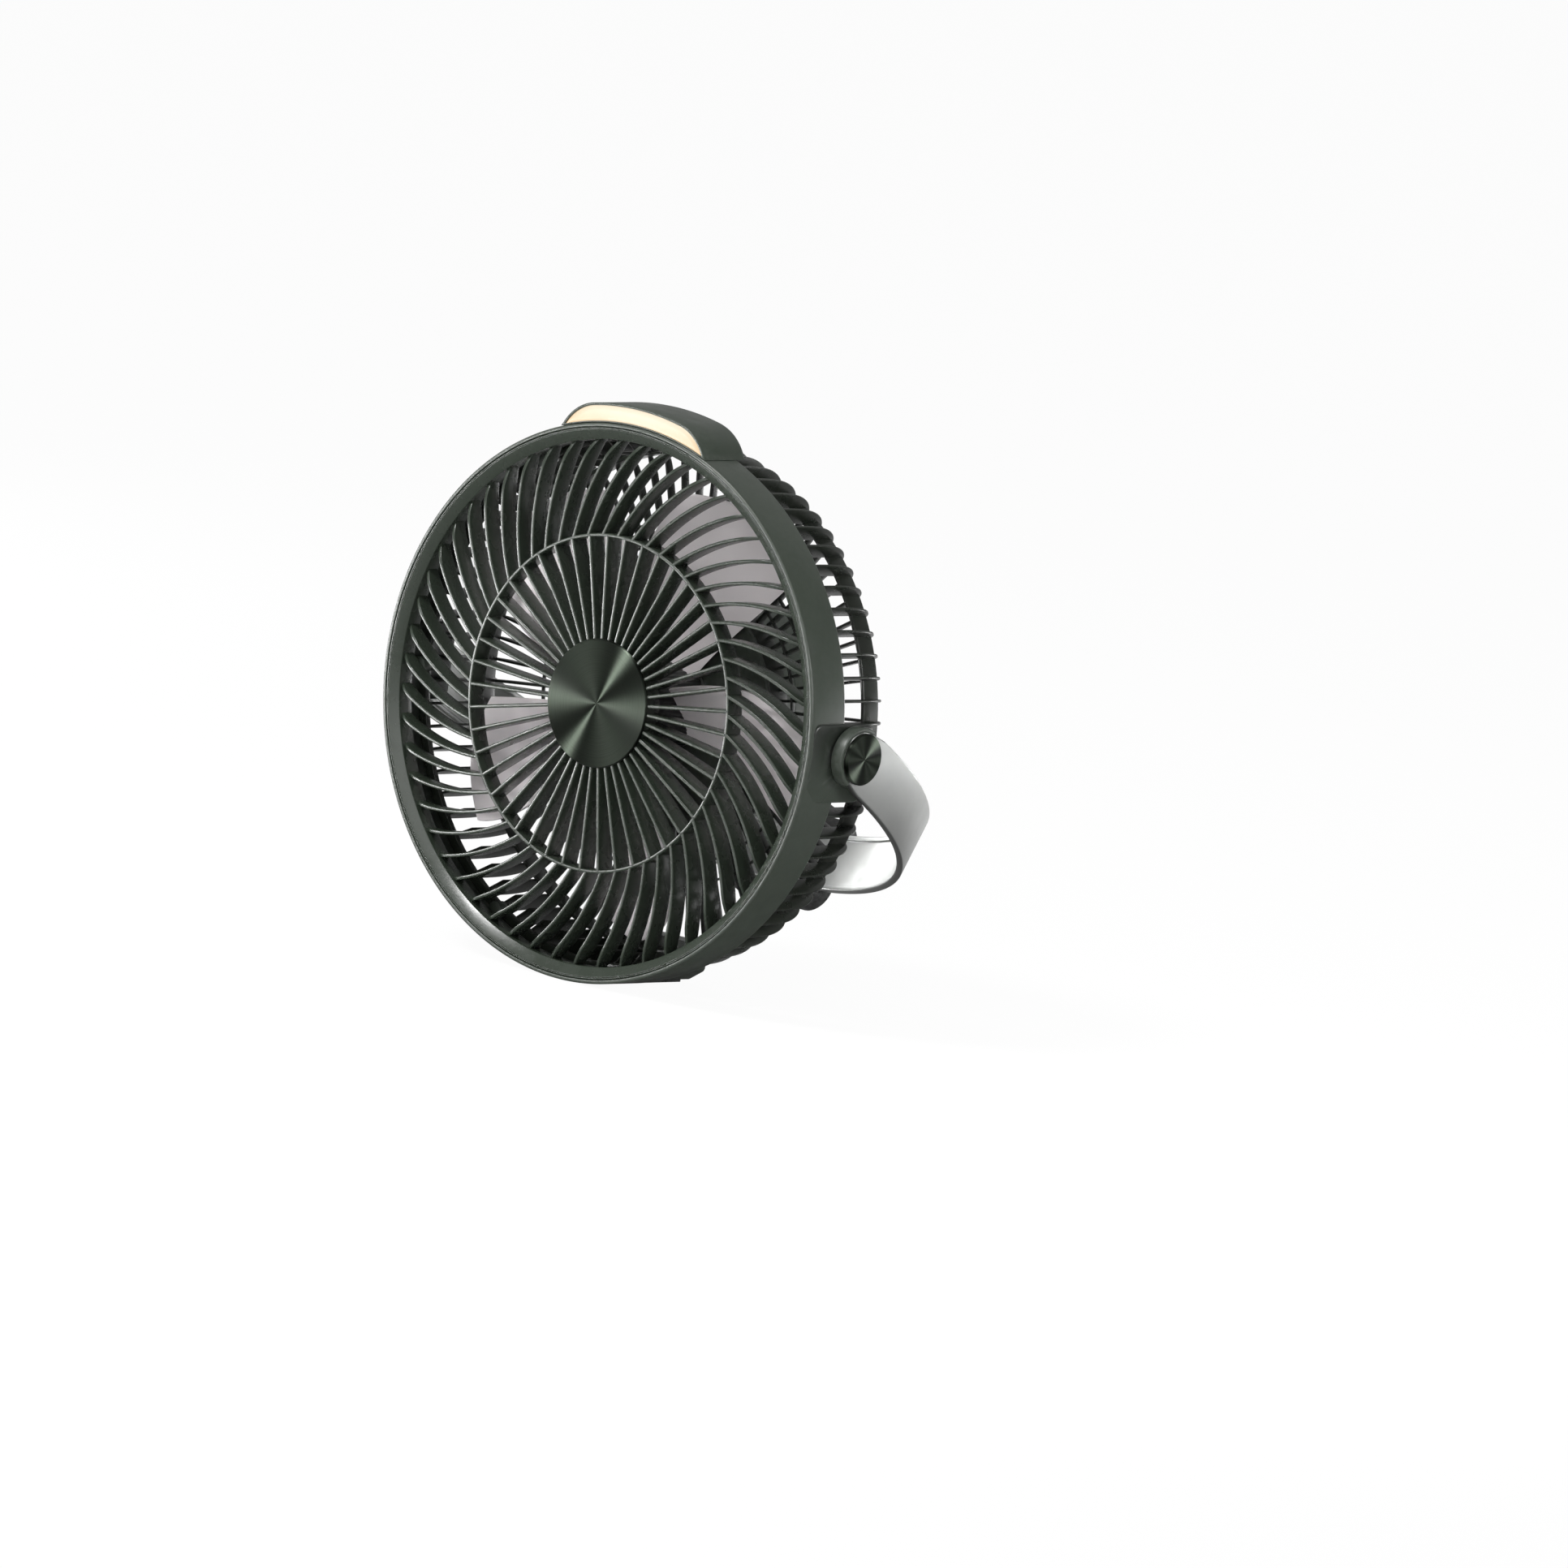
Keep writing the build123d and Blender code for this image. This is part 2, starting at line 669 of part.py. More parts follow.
# ---------------------------------------------------------------- rear drum
with BuildPart() as rear_housing:
    with BuildSketch(section_plane()):
        flange_back = drum_front + drum_flange_thickness
        with BuildLine():
            Polyline(
                (motor_radius + fit_gap, drum_front),
                (drum_radius + drum_flange, drum_front),
                (drum_radius + drum_flange, flange_back),
                (drum_radius, flange_back),
                (drum_radius, drum_split),
                (drum_radius - thin_wall, drum_split),
                (drum_radius - thin_wall, drum_front + thin_wall),
                (motor_radius + fit_gap, drum_front + thin_wall),
                close=True,
            )
        make_face()
    revolve(axis=fan_axis)
    with BuildSketch(facing_front(drum_front + thin_wall)):
        with Locations(cover_screw_places):
            Circle(cover_post_radius)
    extrude(amount=-(drum_split - fit_gap - drum_front - thin_wall))
    with BuildSketch(facing_front(drum_front + 2 * thin_wall)):
        with Locations(cover_screw_places):
            Circle(cover_screw_radius + running_gap)
    extrude(amount=-(drum_split - drum_front), mode=Mode.SUBTRACT)
save(rear_housing.part, "rear_housing")

with BuildPart() as rear_cover:
    with BuildSketch(section_plane()):
        with BuildLine():
            Polyline(
                (0, cover_inner_face),
                (cover_bore_radius - drum_edge / 2, cover_inner_face),
                (cover_bore_radius, cover_inner_face - drum_edge / 2),
                (cover_bore_radius, drum_split - spigot_length),
                (spigot_radius, drum_split - spigot_length),
                (spigot_radius, drum_split + fit_gap),
                (drum_radius, drum_split + fit_gap),
                (drum_radius, drum_rear - drum_edge),
            )
            ThreePointArc(
                (drum_radius, drum_rear - drum_edge),
                (drum_radius - drum_edge * (1 - cos(radians(45))), drum_rear - drum_edge * (1 - sin(radians(45)))),
                (drum_radius - drum_edge, drum_rear),
            )
            Polyline((drum_radius - drum_edge, drum_rear), (0, drum_rear), (0, cover_inner_face))
        make_face()
    revolve(axis=fan_axis)
    with BuildSketch(facing_front(drum_split + fit_gap)):
        with Locations(cover_screw_places):
            Circle(cover_post_radius)
    extrude(amount=-(cover_inner_face - drum_split))
    with BuildSketch(facing_front(drum_split)):
        with Locations(cover_screw_places):
            Circle(cover_screw_radius + fit_gap)
    extrude(amount=-(drum_rear - drum_split), mode=Mode.SUBTRACT)
    with BuildSketch(facing_front(drum_rear - cover_screw_sink)):
        with Locations(cover_screw_places):
            Circle(cover_screw_head_radius + fit_gap)
    extrude(amount=-cover_screw_sink, mode=Mode.SUBTRACT)
    with BuildSketch(facing_front(cover_inner_face - cut_reach)):
        with Locations(button_places):
            Circle(button_radius + free_gap)
        with Locations((0, button_level)):
            RectangleRounded(port_width + 2 * fit_gap, port_height + 2 * fit_gap, port_height / 2)
        with Locations(light_places):
            Circle(light_radius + fit_gap)
    extrude(amount=-(thin_wall + cut_reach), mode=Mode.SUBTRACT)
save(rear_cover.part, "rear_cover")

with BuildPart() as cover_screws:
    head_back = drum_rear - cover_screw_sink
    with BuildSketch(facing_front(head_back)):
        with Locations(cover_screw_places):
            Circle(cover_screw_head_radius)
    extrude(amount=-screw_head_height)
    with BuildSketch(facing_front(head_back)):
        with Locations(cover_screw_places):
            Circle(cover_screw_radius)
    extrude(amount=head_back - drum_split + cover_screw_hold)
save(cover_screws.part, "cover_screws")


# ---------------------------------------------------------------- motor
bearing_front_depth = motor_front + fit_gap
bearing_rear_depth = motor_rear - fit_gap - bearing_length
bearing_seat = bearing_radius + running_gap
bearing_seat_wall = bearing_seat + motor_wall
motor_flange_radius = motor_radius + motor_flange_width
winding_depth = (motor_front + motor_rear) / 2
winding_outer_radius = motor_radius - motor_wall - fit_gap
winding_inner_radius = winding_outer_radius - winding_width

with BuildPart() as motor_can:
    with BuildSketch(section_plane()):
        with BuildLine():
            Polyline(
                (bearing_seat, motor_front),
                (motor_flange_radius, motor_front),
                (motor_flange_radius, motor_front + motor_flange_thickness),
                (motor_radius, motor_front + motor_flange_thickness),
                (motor_radius, motor_rear),
                (bearing_seat, motor_rear),
                (bearing_seat, bearing_rear_depth),
                (bearing_seat_wall, bearing_rear_depth),
                (bearing_seat_wall, motor_rear - motor_wall),
                (motor_radius - motor_wall, motor_rear - motor_wall),
                (motor_radius - motor_wall, motor_front + motor_wall),
                (bearing_seat_wall, motor_front + motor_wall),
                (bearing_seat_wall, bearing_front_depth + bearing_length),
                (bearing_seat, bearing_front_depth + bearing_length),
                close=True,
            )
        make_face()
    revolve(axis=fan_axis)
save(motor_can.part, "motor_can")

with BuildPart() as motor_screws:
    with BuildSketch(facing_front(motor_front)):
        with PolarLocations(motor_radius + motor_flange_width / 2, motor_screw_count, start_angle=45):
            Circle(motor_screw_head_radius)
    extrude(amount=motor_screw_head_height)
save(motor_screws.part, "motor_screws")

with BuildPart() as motor_bearings:
    with BuildSketch(section_plane()):
        bearing_middle = (shaft_radius + running_gap + bearing_radius) / 2
        with Locations(
            (bearing_middle, bearing_front_depth + bearing_length / 2),
            (bearing_middle, bearing_rear_depth + bearing_length / 2),
        ):
            Rectangle(bearing_radius - shaft_radius - running_gap, bearing_length)
    revolve(axis=fan_axis)
save(motor_bearings.part, "motor_bearings")

with BuildPart() as motor_winding:
    with BuildSketch(facing_front(winding_depth)):
        Circle(winding_outer_radius)
        Circle(winding_inner_radius, mode=Mode.SUBTRACT)
        with PolarLocations((winding_outer_radius + winding_inner_radius) / 2, winding_slot_count):
            Rectangle(winding_outer_radius, winding_slot, mode=Mode.SUBTRACT)
        Circle(winding_outer_radius)
        Circle(winding_outer_radius - winding_back, mode=Mode.SUBTRACT)
    extrude(amount=magnet_length / 2, both=True)
save(motor_winding.part, "motor_winding")

with BuildPart() as motor_shaft:
    with BuildSketch(facing_front(shaft_front)):
        Circle(shaft_radius)
    extrude(amount=shaft_front - motor_rear)
save(motor_shaft.part, "motor_shaft")

with BuildPart() as motor_magnet:
    with BuildSketch(facing_front(winding_depth)):
        Circle(winding_inner_radius - magnet_gap)
        Circle(shaft_radius + running_gap, mode=Mode.SUBTRACT)
    extrude(amount=magnet_length / 2, both=True)
save(motor_magnet.part, "motor_magnet")


# ---------------------------------------------------------------- fan rotor
# five twisted, cambered blades lofted through sections along the radius, on a cup-shaped hub
def blade_plane(angle, radius):
    """Plane across a blade at a radius: x runs counter-clockwise round the fan and y points to the front."""
    outward = Vector(cos(radians(angle)), 0, sin(radians(angle)))
    around = Vector(-sin(radians(angle)), 0, cos(radians(angle)))
    center = Vector(0, depth_to_y(blade_mid_depth), axis_height) + outward * radius
    return Plane(origin=center, x_dir=around, z_dir=outward)


def blade_section(width, pitch, offset):
    """Cambered section of a blade, as wide as seen from the front, for a blade plane."""
    half_x = width / 2
    half_y = half_x * sin(radians(pitch)) / cos(radians(pitch))
    camber = blade_camber * width
    rear_x = sin(radians(pitch))
    rear_y = -cos(radians(pitch))
    edge = blade_edge / 2
    middle = blade_thickness / 2
    with BuildSketch() as section:
        with BuildLine():
            pressure = ThreePointArc(
                (offset + half_x, half_y + edge),
                (offset + (camber - middle) * rear_x, (camber - middle) * rear_y),
                (offset - half_x, -half_y + edge),
            )
            suction = ThreePointArc(
                (offset - half_x, -half_y - edge),
                (offset + (camber + middle) * rear_x, (camber + middle) * rear_y),
                (offset + half_x, half_y - edge),
            )
            Line(pressure @ 1, suction @ 0)
            Line(suction @ 1, pressure @ 0)
        make_face()
    return section.sketch


with BuildPart() as fan_blade:
    for share, width, pitch, offset in blade_stations:
        with BuildSketch(blade_plane(blade_first_angle, share * blade_tip_radius)):
            add(blade_section(width, pitch, offset))
    loft()
    with BuildSketch(section_plane()):
        shoulder_radius = blade_tip_radius - blade_tip_round
        with BuildLine():
            Polyline((0, blade_front_limit), (shoulder_radius, blade_front_limit))
            ThreePointArc(
                (shoulder_radius, blade_front_limit),
                (blade_tip_radius, (blade_front_limit + hoop_front) / 2),
                (shoulder_radius, hoop_front),
            )
            Polyline((shoulder_radius, hoop_front), (0, hoop_front), (0, blade_front_limit))
        make_face()
    revolve(axis=fan_axis, mode=Mode.INTERSECT)

with BuildPart() as fan_rotor:
    with BuildSketch(section_plane()):
        bore = shaft_radius + running_gap
        hub_inner_radius = rotor_hub_radius - rotor_hub_wall
        hub_edge = rotor_hub_wall * 2
        with BuildLine():
            Polyline(
                (bore, rotor_hub_front),
                (rotor_hub_radius - hub_edge, rotor_hub_front),
                (rotor_hub_radius, rotor_hub_front + hub_edge),
                (rotor_hub_radius, rotor_hub_rear),
                (hub_inner_radius, rotor_hub_rear),
                (hub_inner_radius, rotor_hub_front + hub_edge),
                (hub_inner_radius - rotor_hub_wall, rotor_hub_front + rotor_hub_wall),
                (rotor_boss_radius, rotor_hub_front + rotor_hub_wall),
                (rotor_boss_radius, rotor_hub_rear - rotor_hub_wall),
                (bore, rotor_hub_rear - rotor_hub_wall),
                close=True,
            )
        make_face()
    revolve(axis=fan_axis)
    add([fan_blade.part.rotate(fan_axis, 360 / blade_count * index) for index in range(blade_count)])
    with BuildSketch(facing_front(rotor_hub_front + rotor_hub_wall)):
        Circle(hub_inner_radius - rotor_hub_wall)
        Circle(rotor_boss_radius, mode=Mode.SUBTRACT)
    extrude(amount=-(rotor_hub_rear - rotor_hub_front), mode=Mode.SUBTRACT)
save(fan_rotor.part, "fan_rotor")

with BuildPart() as rotor_cap:
    with BuildSketch(section_plane()):
        cap_front = rotor_hub_front - rotor_cap_height
        with BuildLine():
            Polyline(
                (0, cap_front),
                (rotor_cap_radius - rotor_cap_edge, cap_front),
                (rotor_cap_radius, cap_front + rotor_cap_edge),
                (rotor_cap_radius, rotor_hub_front),
                (shaft_radius + running_gap, rotor_hub_front),
                (shaft_radius + running_gap, shaft_front - fit_gap),
                (0, shaft_front - fit_gap),
                close=True,
            )
        make_face()
    revolve(axis=fan_axis)
save(rotor_cap.part, "rotor_cap")


# ---------------------------------------------------------------- battery and controls
with BuildPart() as battery_holder:
    holder_depth = cover_inner_face - fit_gap - holder_front
    with BuildSketch(facing_front(holder_front)):
        Rectangle(holder_width, holder_height)
    extrude(amount=-holder_depth)
    with BuildSketch(facing_front(holder_front + holder_wall)):
        Rectangle(holder_width - 2 * holder_wall, holder_height - 2 * holder_wall)
    extrude(amount=-holder_depth, mode=Mode.SUBTRACT)
save(battery_holder.part, "battery_holder")

with BuildPart() as battery_cells:
    cell_y = depth_to_y(holder_front + holder_wall + cell_radius)
    with BuildSketch(Plane(origin=(0, cell_y, axis_height), x_dir=(0, 1, 0), z_dir=(1, 0, 0))):
        with Locations((0, cell_pitch / 2), (0, -cell_pitch / 2)):
            Circle(cell_radius)
    extrude(amount=cell_length / 2, both=True)
save(battery_cells.part, "battery_cells")

with BuildPart() as control_board:
    with BuildSketch(facing_front(board_depth)):
        with Locations((0, board_low_edge + board_height / 2)):
            Rectangle(board_width, board_height)
    extrude(amount=-board_thickness)
save(control_board.part, "control_board")

board_back = board_depth + board_thickness
button_base = cover_inner_face - free_gap - button_flange_thickness
with BuildPart() as button_switches:
    with BuildSketch(facing_front(board_back)):
        with Locations(button_places):
            Rectangle(switch_size, switch_size)
    extrude(amount=-(button_base - button_travel - free_gap - board_back))
save(button_switches.part, "button_switches")

with BuildPart() as charge_port:
    with BuildSketch(facing_front(board_back)):
        with Locations((0, button_level)):
            RectangleRounded(port_width, port_height, port_height / 2 - fit_gap)
    extrude(amount=-(drum_rear - fit_gap - board_back))
    with BuildSketch(facing_front(drum_rear - fit_gap - port_socket_depth)):
        with Locations((0, button_level)):
            RectangleRounded(port_width - 2 * port_wall, port_height - 2 * port_wall, port_height / 2 - port_wall - fit_gap)
            Rectangle(port_width - 4 * port_wall, port_wall, mode=Mode.SUBTRACT)
    extrude(amount=-port_socket_depth, mode=Mode.SUBTRACT)
save(charge_port.part, "charge_port")

with BuildPart() as charge_lights:
    with BuildSketch(facing_front(board_back)):
        with Locations(light_places):
            Circle(light_radius)
    extrude(amount=-(drum_rear - board_back))
save(charge_lights.part, "charge_lights")

for name, place in zip(("speed_button", "lamp_button"), button_places):
    with BuildPart() as button:
        with BuildSketch(facing_front(button_base)):
            with Locations(place):
                Circle(button_radius + button_flange)
        extrude(amount=-button_flange_thickness)
        with BuildSketch(facing_front(button_base)):
            with Locations(place):
                Circle(button_radius)
        extrude(amount=-(drum_rear + button_proud - button_base))
        fillet(button.faces().sort_by(Axis.Y)[-1].edges(), button_edge)
    save(button.part, name)


# ---------------------------------------------------------------- stand
# a flat band bent into a hoop, with a lip inside both edges, turned down by its rest angle
rest_angle = radians(stand_rest_angle)
stand_out = Vector(0, cos(rest_angle), -sin(rest_angle))
stand_up = Vector(0, sin(rest_angle), cos(rest_angle))
pivot = Vector(0, 0, axis_height)
hoop_plane = Plane(origin=pivot, x_dir=(1, 0, 0), z_dir=stand_up)
side_plane = Plane(origin=pivot, x_dir=stand_out, z_dir=(1, 0, 0))
plate_plane = Plane(origin=pivot + stand_out * stand_reach, x_dir=(1, 0, 0), z_dir=stand_out)
arm_end = hub_radius - hub_pocket_wall - fit_gap
half_band = stand_width / 2


def hoop_strip(outside, inside, start):
    """U-shaped strip in the hoop's plane between two distances from the middle."""
    with BuildSketch() as strip:
        with BuildLine():
            Line((-outside, start), (-outside, stand_straight))
            ThreePointArc((-outside, stand_straight), (0, stand_straight + outside), (outside, stand_straight))
            Polyline((outside, stand_straight), (outside, start), (inside, start), (inside, stand_straight))
            ThreePointArc((inside, stand_straight), (0, stand_straight + inside), (-inside, stand_straight))
            Polyline((-inside, stand_straight), (-inside, start), (-outside, start))
        make_face()
    return strip.sketch


with BuildPart() as stand_band:
    with BuildSketch(hoop_plane):
        add(hoop_strip(stand_half_width, stand_lip_face, -hub_radius))
    extrude(amount=half_band, both=True)
    with BuildSketch(hoop_plane):
        add(hoop_strip(stand_inner_face, stand_lip_face - cut_reach, -hub_radius))
    extrude(amount=half_band - stand_lip_width, both=True, mode=Mode.SUBTRACT)
    with BuildSketch(side_plane):
        with BuildLine():
            ThreePointArc((0, arm_end), (-arm_end, 0), (0, -arm_end))
            Polyline(
                (0, -arm_end),
                (arm_flare, -half_band),
                (stand_reach + cut_reach, -half_band),
                (stand_reach + cut_reach, half_band),
                (arm_flare, half_band),
                (0, arm_end),
            )
        make_face()
    extrude(amount=stand_half_width + cut_reach, both=True, mode=Mode.INTERSECT)
    with BuildSketch(side_plane):
        Circle(pivot_screw_radius + running_gap)
    extrude(amount=stand_half_width + cut_reach, both=True, mode=Mode.SUBTRACT)
    with BuildSketch(plate_plane):
        with GridLocations(plate_screw_spacing, 1, 2, 1):
            Circle(plate_screw_radius + fit_gap)
    extrude(amount=-plate_cut, mode=Mode.SUBTRACT)
save(stand_band.part, "stand_band")

with BuildPart() as stand_plate:
    with BuildSketch(hoop_plane):
        with Locations((0, stand_straight)):
            Circle(stand_half_width + plate_thickness)
            Circle(stand_half_width, mode=Mode.SUBTRACT)
    extrude(amount=plate_height / 2, both=True)
    with BuildSketch(plate_plane):
        RectangleRounded(plate_width, plate_height, plate_corner)
    extrude(amount=plate_cut, both=True, mode=Mode.INTERSECT)
    with BuildSketch(plate_plane.offset(-plate_cut)):
        with GridLocations(plate_screw_spacing, 1, 2, 1):
            Circle(plate_screw_radius + running_gap)
    extrude(amount=plate_cut + plate_screw_hold + slip_gap, mode=Mode.SUBTRACT)
save(stand_plate.part, "stand_plate")

with BuildPart() as stand_pad:
    with BuildSketch(hoop_plane):
        with Locations((0, stand_straight)):
            Circle(stand_half_width + plate_thickness + plate_pad_thickness)
            Circle(stand_half_width + plate_thickness, mode=Mode.SUBTRACT)
    extrude(amount=plate_height / 2, both=True)
    with BuildSketch(plate_plane):
        RectangleRounded(
            plate_width - 2 * plate_pad_inset, plate_height - 2 * plate_pad_inset, plate_corner - plate_pad_inset
        )
    extrude(amount=plate_cut, both=True, mode=Mode.INTERSECT)
save(stand_pad.part, "stand_pad")

with BuildPart() as plate_screws:
    with BuildSketch(plate_plane.offset(-plate_screw_seat)):
        with GridLocations(plate_screw_spacing, 1, 2, 1):
            Circle(plate_screw_head_radius)
    extrude(amount=-screw_head_height)
    with BuildSketch(plate_plane.offset(-plate_screw_seat)):
        with GridLocations(plate_screw_spacing, 1, 2, 1):
            Circle(plate_screw_radius)
    extrude(amount=plate_screw_seat + plate_screw_hold)
save(plate_screws.part, "plate_screws")

for side, side_name in ((1, "right"), (-1, "left")):
    with BuildPart() as stand_hub:
        with BuildSketch(beside_pivot_tilted(side, washer_face + slip_gap)):
            Circle(hub_radius)
        extrude(amount=stand_lip_face - washer_face - slip_gap)
        with BuildSketch(beside_pivot_tilted(side, stand_lip_face)):
            Circle(half_band - stand_lip_width - fit_gap)
        extrude(amount=stand_lip)
        with BuildSketch(beside_pivot_tilted(side, stand_lip_face)):
            Circle(hub_radius)
            Circle(hub_radius - hub_pocket_wall, mode=Mode.SUBTRACT)
            with Locations((hub_radius, 0)):
                Rectangle(2 * hub_radius, 2 * hub_radius, mode=Mode.SUBTRACT)
        extrude(amount=stand_half_width - stand_lip_face)
        with BuildSketch(beside_pivot_tilted(side, washer_face)):
            Circle(pivot_screw_radius + running_gap)
        extrude(amount=stand_half_width - washer_face, mode=Mode.SUBTRACT)
    save(stand_hub.part, f"stand_hub_{side_name}")

    with BuildPart() as pivot_cap:
        with BuildSketch(beside_pivot_tilted(side, stand_half_width)):
            Circle(pivot_cap_radius)
        extrude(amount=pivot_cap_thickness)
        chamfer(pivot_cap.faces().sort_by(Axis.X)[-1 if side > 0 else 0].edges(), pivot_cap_wall)
        with BuildSketch(beside_pivot_tilted(side, stand_half_width)):
            Circle(pivot_screw_head_radius + free_gap)
        extrude(amount=pivot_cap_thickness - pivot_cap_wall, mode=Mode.SUBTRACT)
    save(pivot_cap.part, f"pivot_cap_{side_name}")

with BuildPart() as pivot_screws:
    for side in (1, -1):
        with BuildSketch(beside_pivot(side, bore_radius + fit_gap)):
            Circle(pivot_screw_radius)
        extrude(amount=stand_half_width + slip_gap - bore_radius - fit_gap)
        with BuildSketch(beside_pivot(side, stand_half_width + slip_gap)):
            Circle(pivot_screw_head_radius)
        extrude(amount=pivot_screw_head_height)
save(pivot_screws.part, "pivot_screws")

with BuildPart() as pivot_washers:
    for side in (1, -1):
        with BuildSketch(beside_pivot(side, boss_face)):
            Circle(hub_radius - hub_pocket_wall)
            Circle(pivot_screw_radius + running_gap, mode=Mode.SUBTRACT)
        extrude(amount=washer_thickness)
save(pivot_washers.part, "pivot_washers")
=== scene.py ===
"""Portable camping fan: guard, rim lamp, rotor, finned cage, battery drum and a hoop stand.

Sizes are millimetres in the fan's own coordinates: x to the right as seen from the front, depth behind the
front of the rim, and up from the fan's axis. FanSpace and StandSpace turn them into the row frame, in metres.
"""

import json
import logging
import math
from dataclasses import dataclass, field, replace
from enum import Enum
from typing import Any

import bmesh
import bpy
import numpy as np
from mathutils import Matrix, Vector

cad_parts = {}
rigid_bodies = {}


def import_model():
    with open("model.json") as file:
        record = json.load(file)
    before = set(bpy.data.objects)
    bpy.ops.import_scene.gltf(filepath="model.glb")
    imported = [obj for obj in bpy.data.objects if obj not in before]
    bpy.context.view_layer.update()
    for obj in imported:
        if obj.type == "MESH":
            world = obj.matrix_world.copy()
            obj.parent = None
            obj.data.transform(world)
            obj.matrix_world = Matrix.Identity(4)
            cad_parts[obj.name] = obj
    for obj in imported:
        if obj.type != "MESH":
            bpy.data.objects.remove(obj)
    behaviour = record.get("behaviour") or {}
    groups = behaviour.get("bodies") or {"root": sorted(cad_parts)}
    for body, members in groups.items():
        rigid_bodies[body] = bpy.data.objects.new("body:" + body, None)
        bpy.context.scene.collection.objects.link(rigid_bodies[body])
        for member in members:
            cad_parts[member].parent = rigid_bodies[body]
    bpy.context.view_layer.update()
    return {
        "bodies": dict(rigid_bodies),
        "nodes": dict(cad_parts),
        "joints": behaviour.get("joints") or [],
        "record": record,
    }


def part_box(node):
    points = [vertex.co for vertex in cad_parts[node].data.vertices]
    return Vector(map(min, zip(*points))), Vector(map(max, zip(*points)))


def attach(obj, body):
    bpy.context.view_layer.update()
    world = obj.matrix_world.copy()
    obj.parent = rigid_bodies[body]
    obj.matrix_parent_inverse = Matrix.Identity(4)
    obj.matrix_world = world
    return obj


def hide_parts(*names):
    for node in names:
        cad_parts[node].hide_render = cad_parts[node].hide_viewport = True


log = logging.getLogger("camping_fan")

MM = 0.001
FULL_TURN = 2 * math.pi
RIM_SEGMENTS = 288
Array = np.ndarray
Colour = tuple[float, float, float]
Corner = tuple[float, float, float]  # two coordinates in an outline's plane, and the rounding's radius


# ---------------------------------------------------------------- places
@dataclass(frozen=True)
class FanSpace:
    """The fan's own coordinates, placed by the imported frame."""

    front_y: float
    axis_z: float

    @classmethod
    def from_frame(cls, frame: dict[str, Any]) -> "FanSpace":
        """Read the rim's front and the rotor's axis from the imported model.


        Returns:
            The fan's space.
        """
        spin = next(joint for joint in frame["joints"] if joint["name"] == "rotor_spin")
        return cls(front_y=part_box("body_band")[0].y, axis_z=spin["pos_m"][2])

    def row(self, points: Array) -> Array:
        """Turn (x, depth, up) in millimetres into the row frame in metres."""
        x, depth, up = np.moveaxis(points, -1, 0)
        return np.stack([x * MM, self.front_y + depth * MM, self.axis_z + up * MM], -1)


@dataclass(frozen=True)
class StandSpace:
    """The stand's coordinates at rest: x, out along its arms, and up across its band."""

    axis_z: float
    rest_angle: float = math.radians(29.8)

    def row(self, points: Array) -> Array:
        """Turn (x, out, up) in millimetres into the row frame: a turn about the pivot by the rest angle."""
        x, out, up = np.moveaxis(points, -1, 0)
        turn_cos = math.cos(self.rest_angle)
        turn_sin = math.sin(self.rest_angle)
        y = out * turn_cos + up * turn_sin
        z = up * turn_cos - out * turn_sin
        return np.stack([x * MM, y * MM, self.axis_z + z * MM], -1)


# ---------------------------------------------------------------- shapes as arrays
@dataclass
class Shell:
    """One or more closed surfaces.

    points are (n, 3) in a space's millimetres, quads are (m, 4) vertex numbers, caps are many-sided faces.
    """

    points: Array
    quads: Array
    caps: list[list[int]] = field(default_factory=list)

    def around(self, count: int, first: float = 0.0) -> "Shell":
        """Copy the shell round the fan's axis.

        Each copy turns x and up by first plus its share of a full turn, counter-clockwise from the front.

        Args:
            count: how many copies.
            first: angle of the first one, in radians.

        Returns:
            All copies as one shell.
        """
        angles = first + np.arange(count) * FULL_TURN / count
        cosines, sines = np.cos(angles)[:, None], np.sin(angles)[:, None]
        x, depth, up = self.points.T
        turned = np.stack([x * cosines - up * sines, depth + 0 * sines, x * sines + up * cosines], -1)
        offsets = np.arange(count) * len(self.points)
        quads = self.quads[None] + offsets[:, None, None]
        caps = [[corner + int(offset) for corner in cap] for offset in offsets for cap in self.caps]
        return Shell(turned.reshape(-1, 3), quads.reshape(-1, 4), caps)

    def moved(self, x: float = 0.0, depth: float = 0.0, up: float = 0.0) -> "Shell":
        """The same shell, moved."""
        return replace(self, points=self.points + np.array([x, depth, up]))

    def flipped_x(self) -> "Shell":
        """The same shell, mirrored left to right. Its normals are worked out again later."""
        return replace(self, points=self.points * np.array([-1.0, 1.0, 1.0]))


def join(*shells: Shell) -> Shell:
    """Put several shells into one."""
    starts = np.cumsum([0] + [len(shell.points) for shell in shells])[:-1]
    points = np.concatenate([shell.points for shell in shells])
    quads = np.concatenate([shell.quads + start for shell, start in zip(shells, starts)])
    caps = [
        [corner + int(start) for corner in cap]
        for shell, start in zip(shells, starts)
        for cap in shell.caps
    ]
    return Shell(points, quads, caps)


def skin(loops: Array, ring: bool = False) -> Shell:
    """Join closed loops of points, one after the other, into a closed surface.

    Point k of loop i is joined to point k of loop i + 1, and each loop closes on itself.

    Args:
        loops: (stations, points of a loop, 3).
        ring: whether the last loop joins the first. Without it both end loops get a cap.

    Returns:
        The closed shell.
    """
    stations, around, _ = loops.shape
    numbers = np.arange(stations * around).reshape(stations, around)
    following = np.roll(numbers, -1, axis=0) if ring else numbers[1:]
    here = numbers if ring else numbers[:-1]
    quads = np.stack([here, np.roll(here, -1, 1), np.roll(following, -1, 1), following], -1).reshape(-1, 4)
    caps = [] if ring else [numbers[0][::-1].tolist(), numbers[-1].tolist()]
    return Shell(loops.reshape(-1, 3), quads, caps)


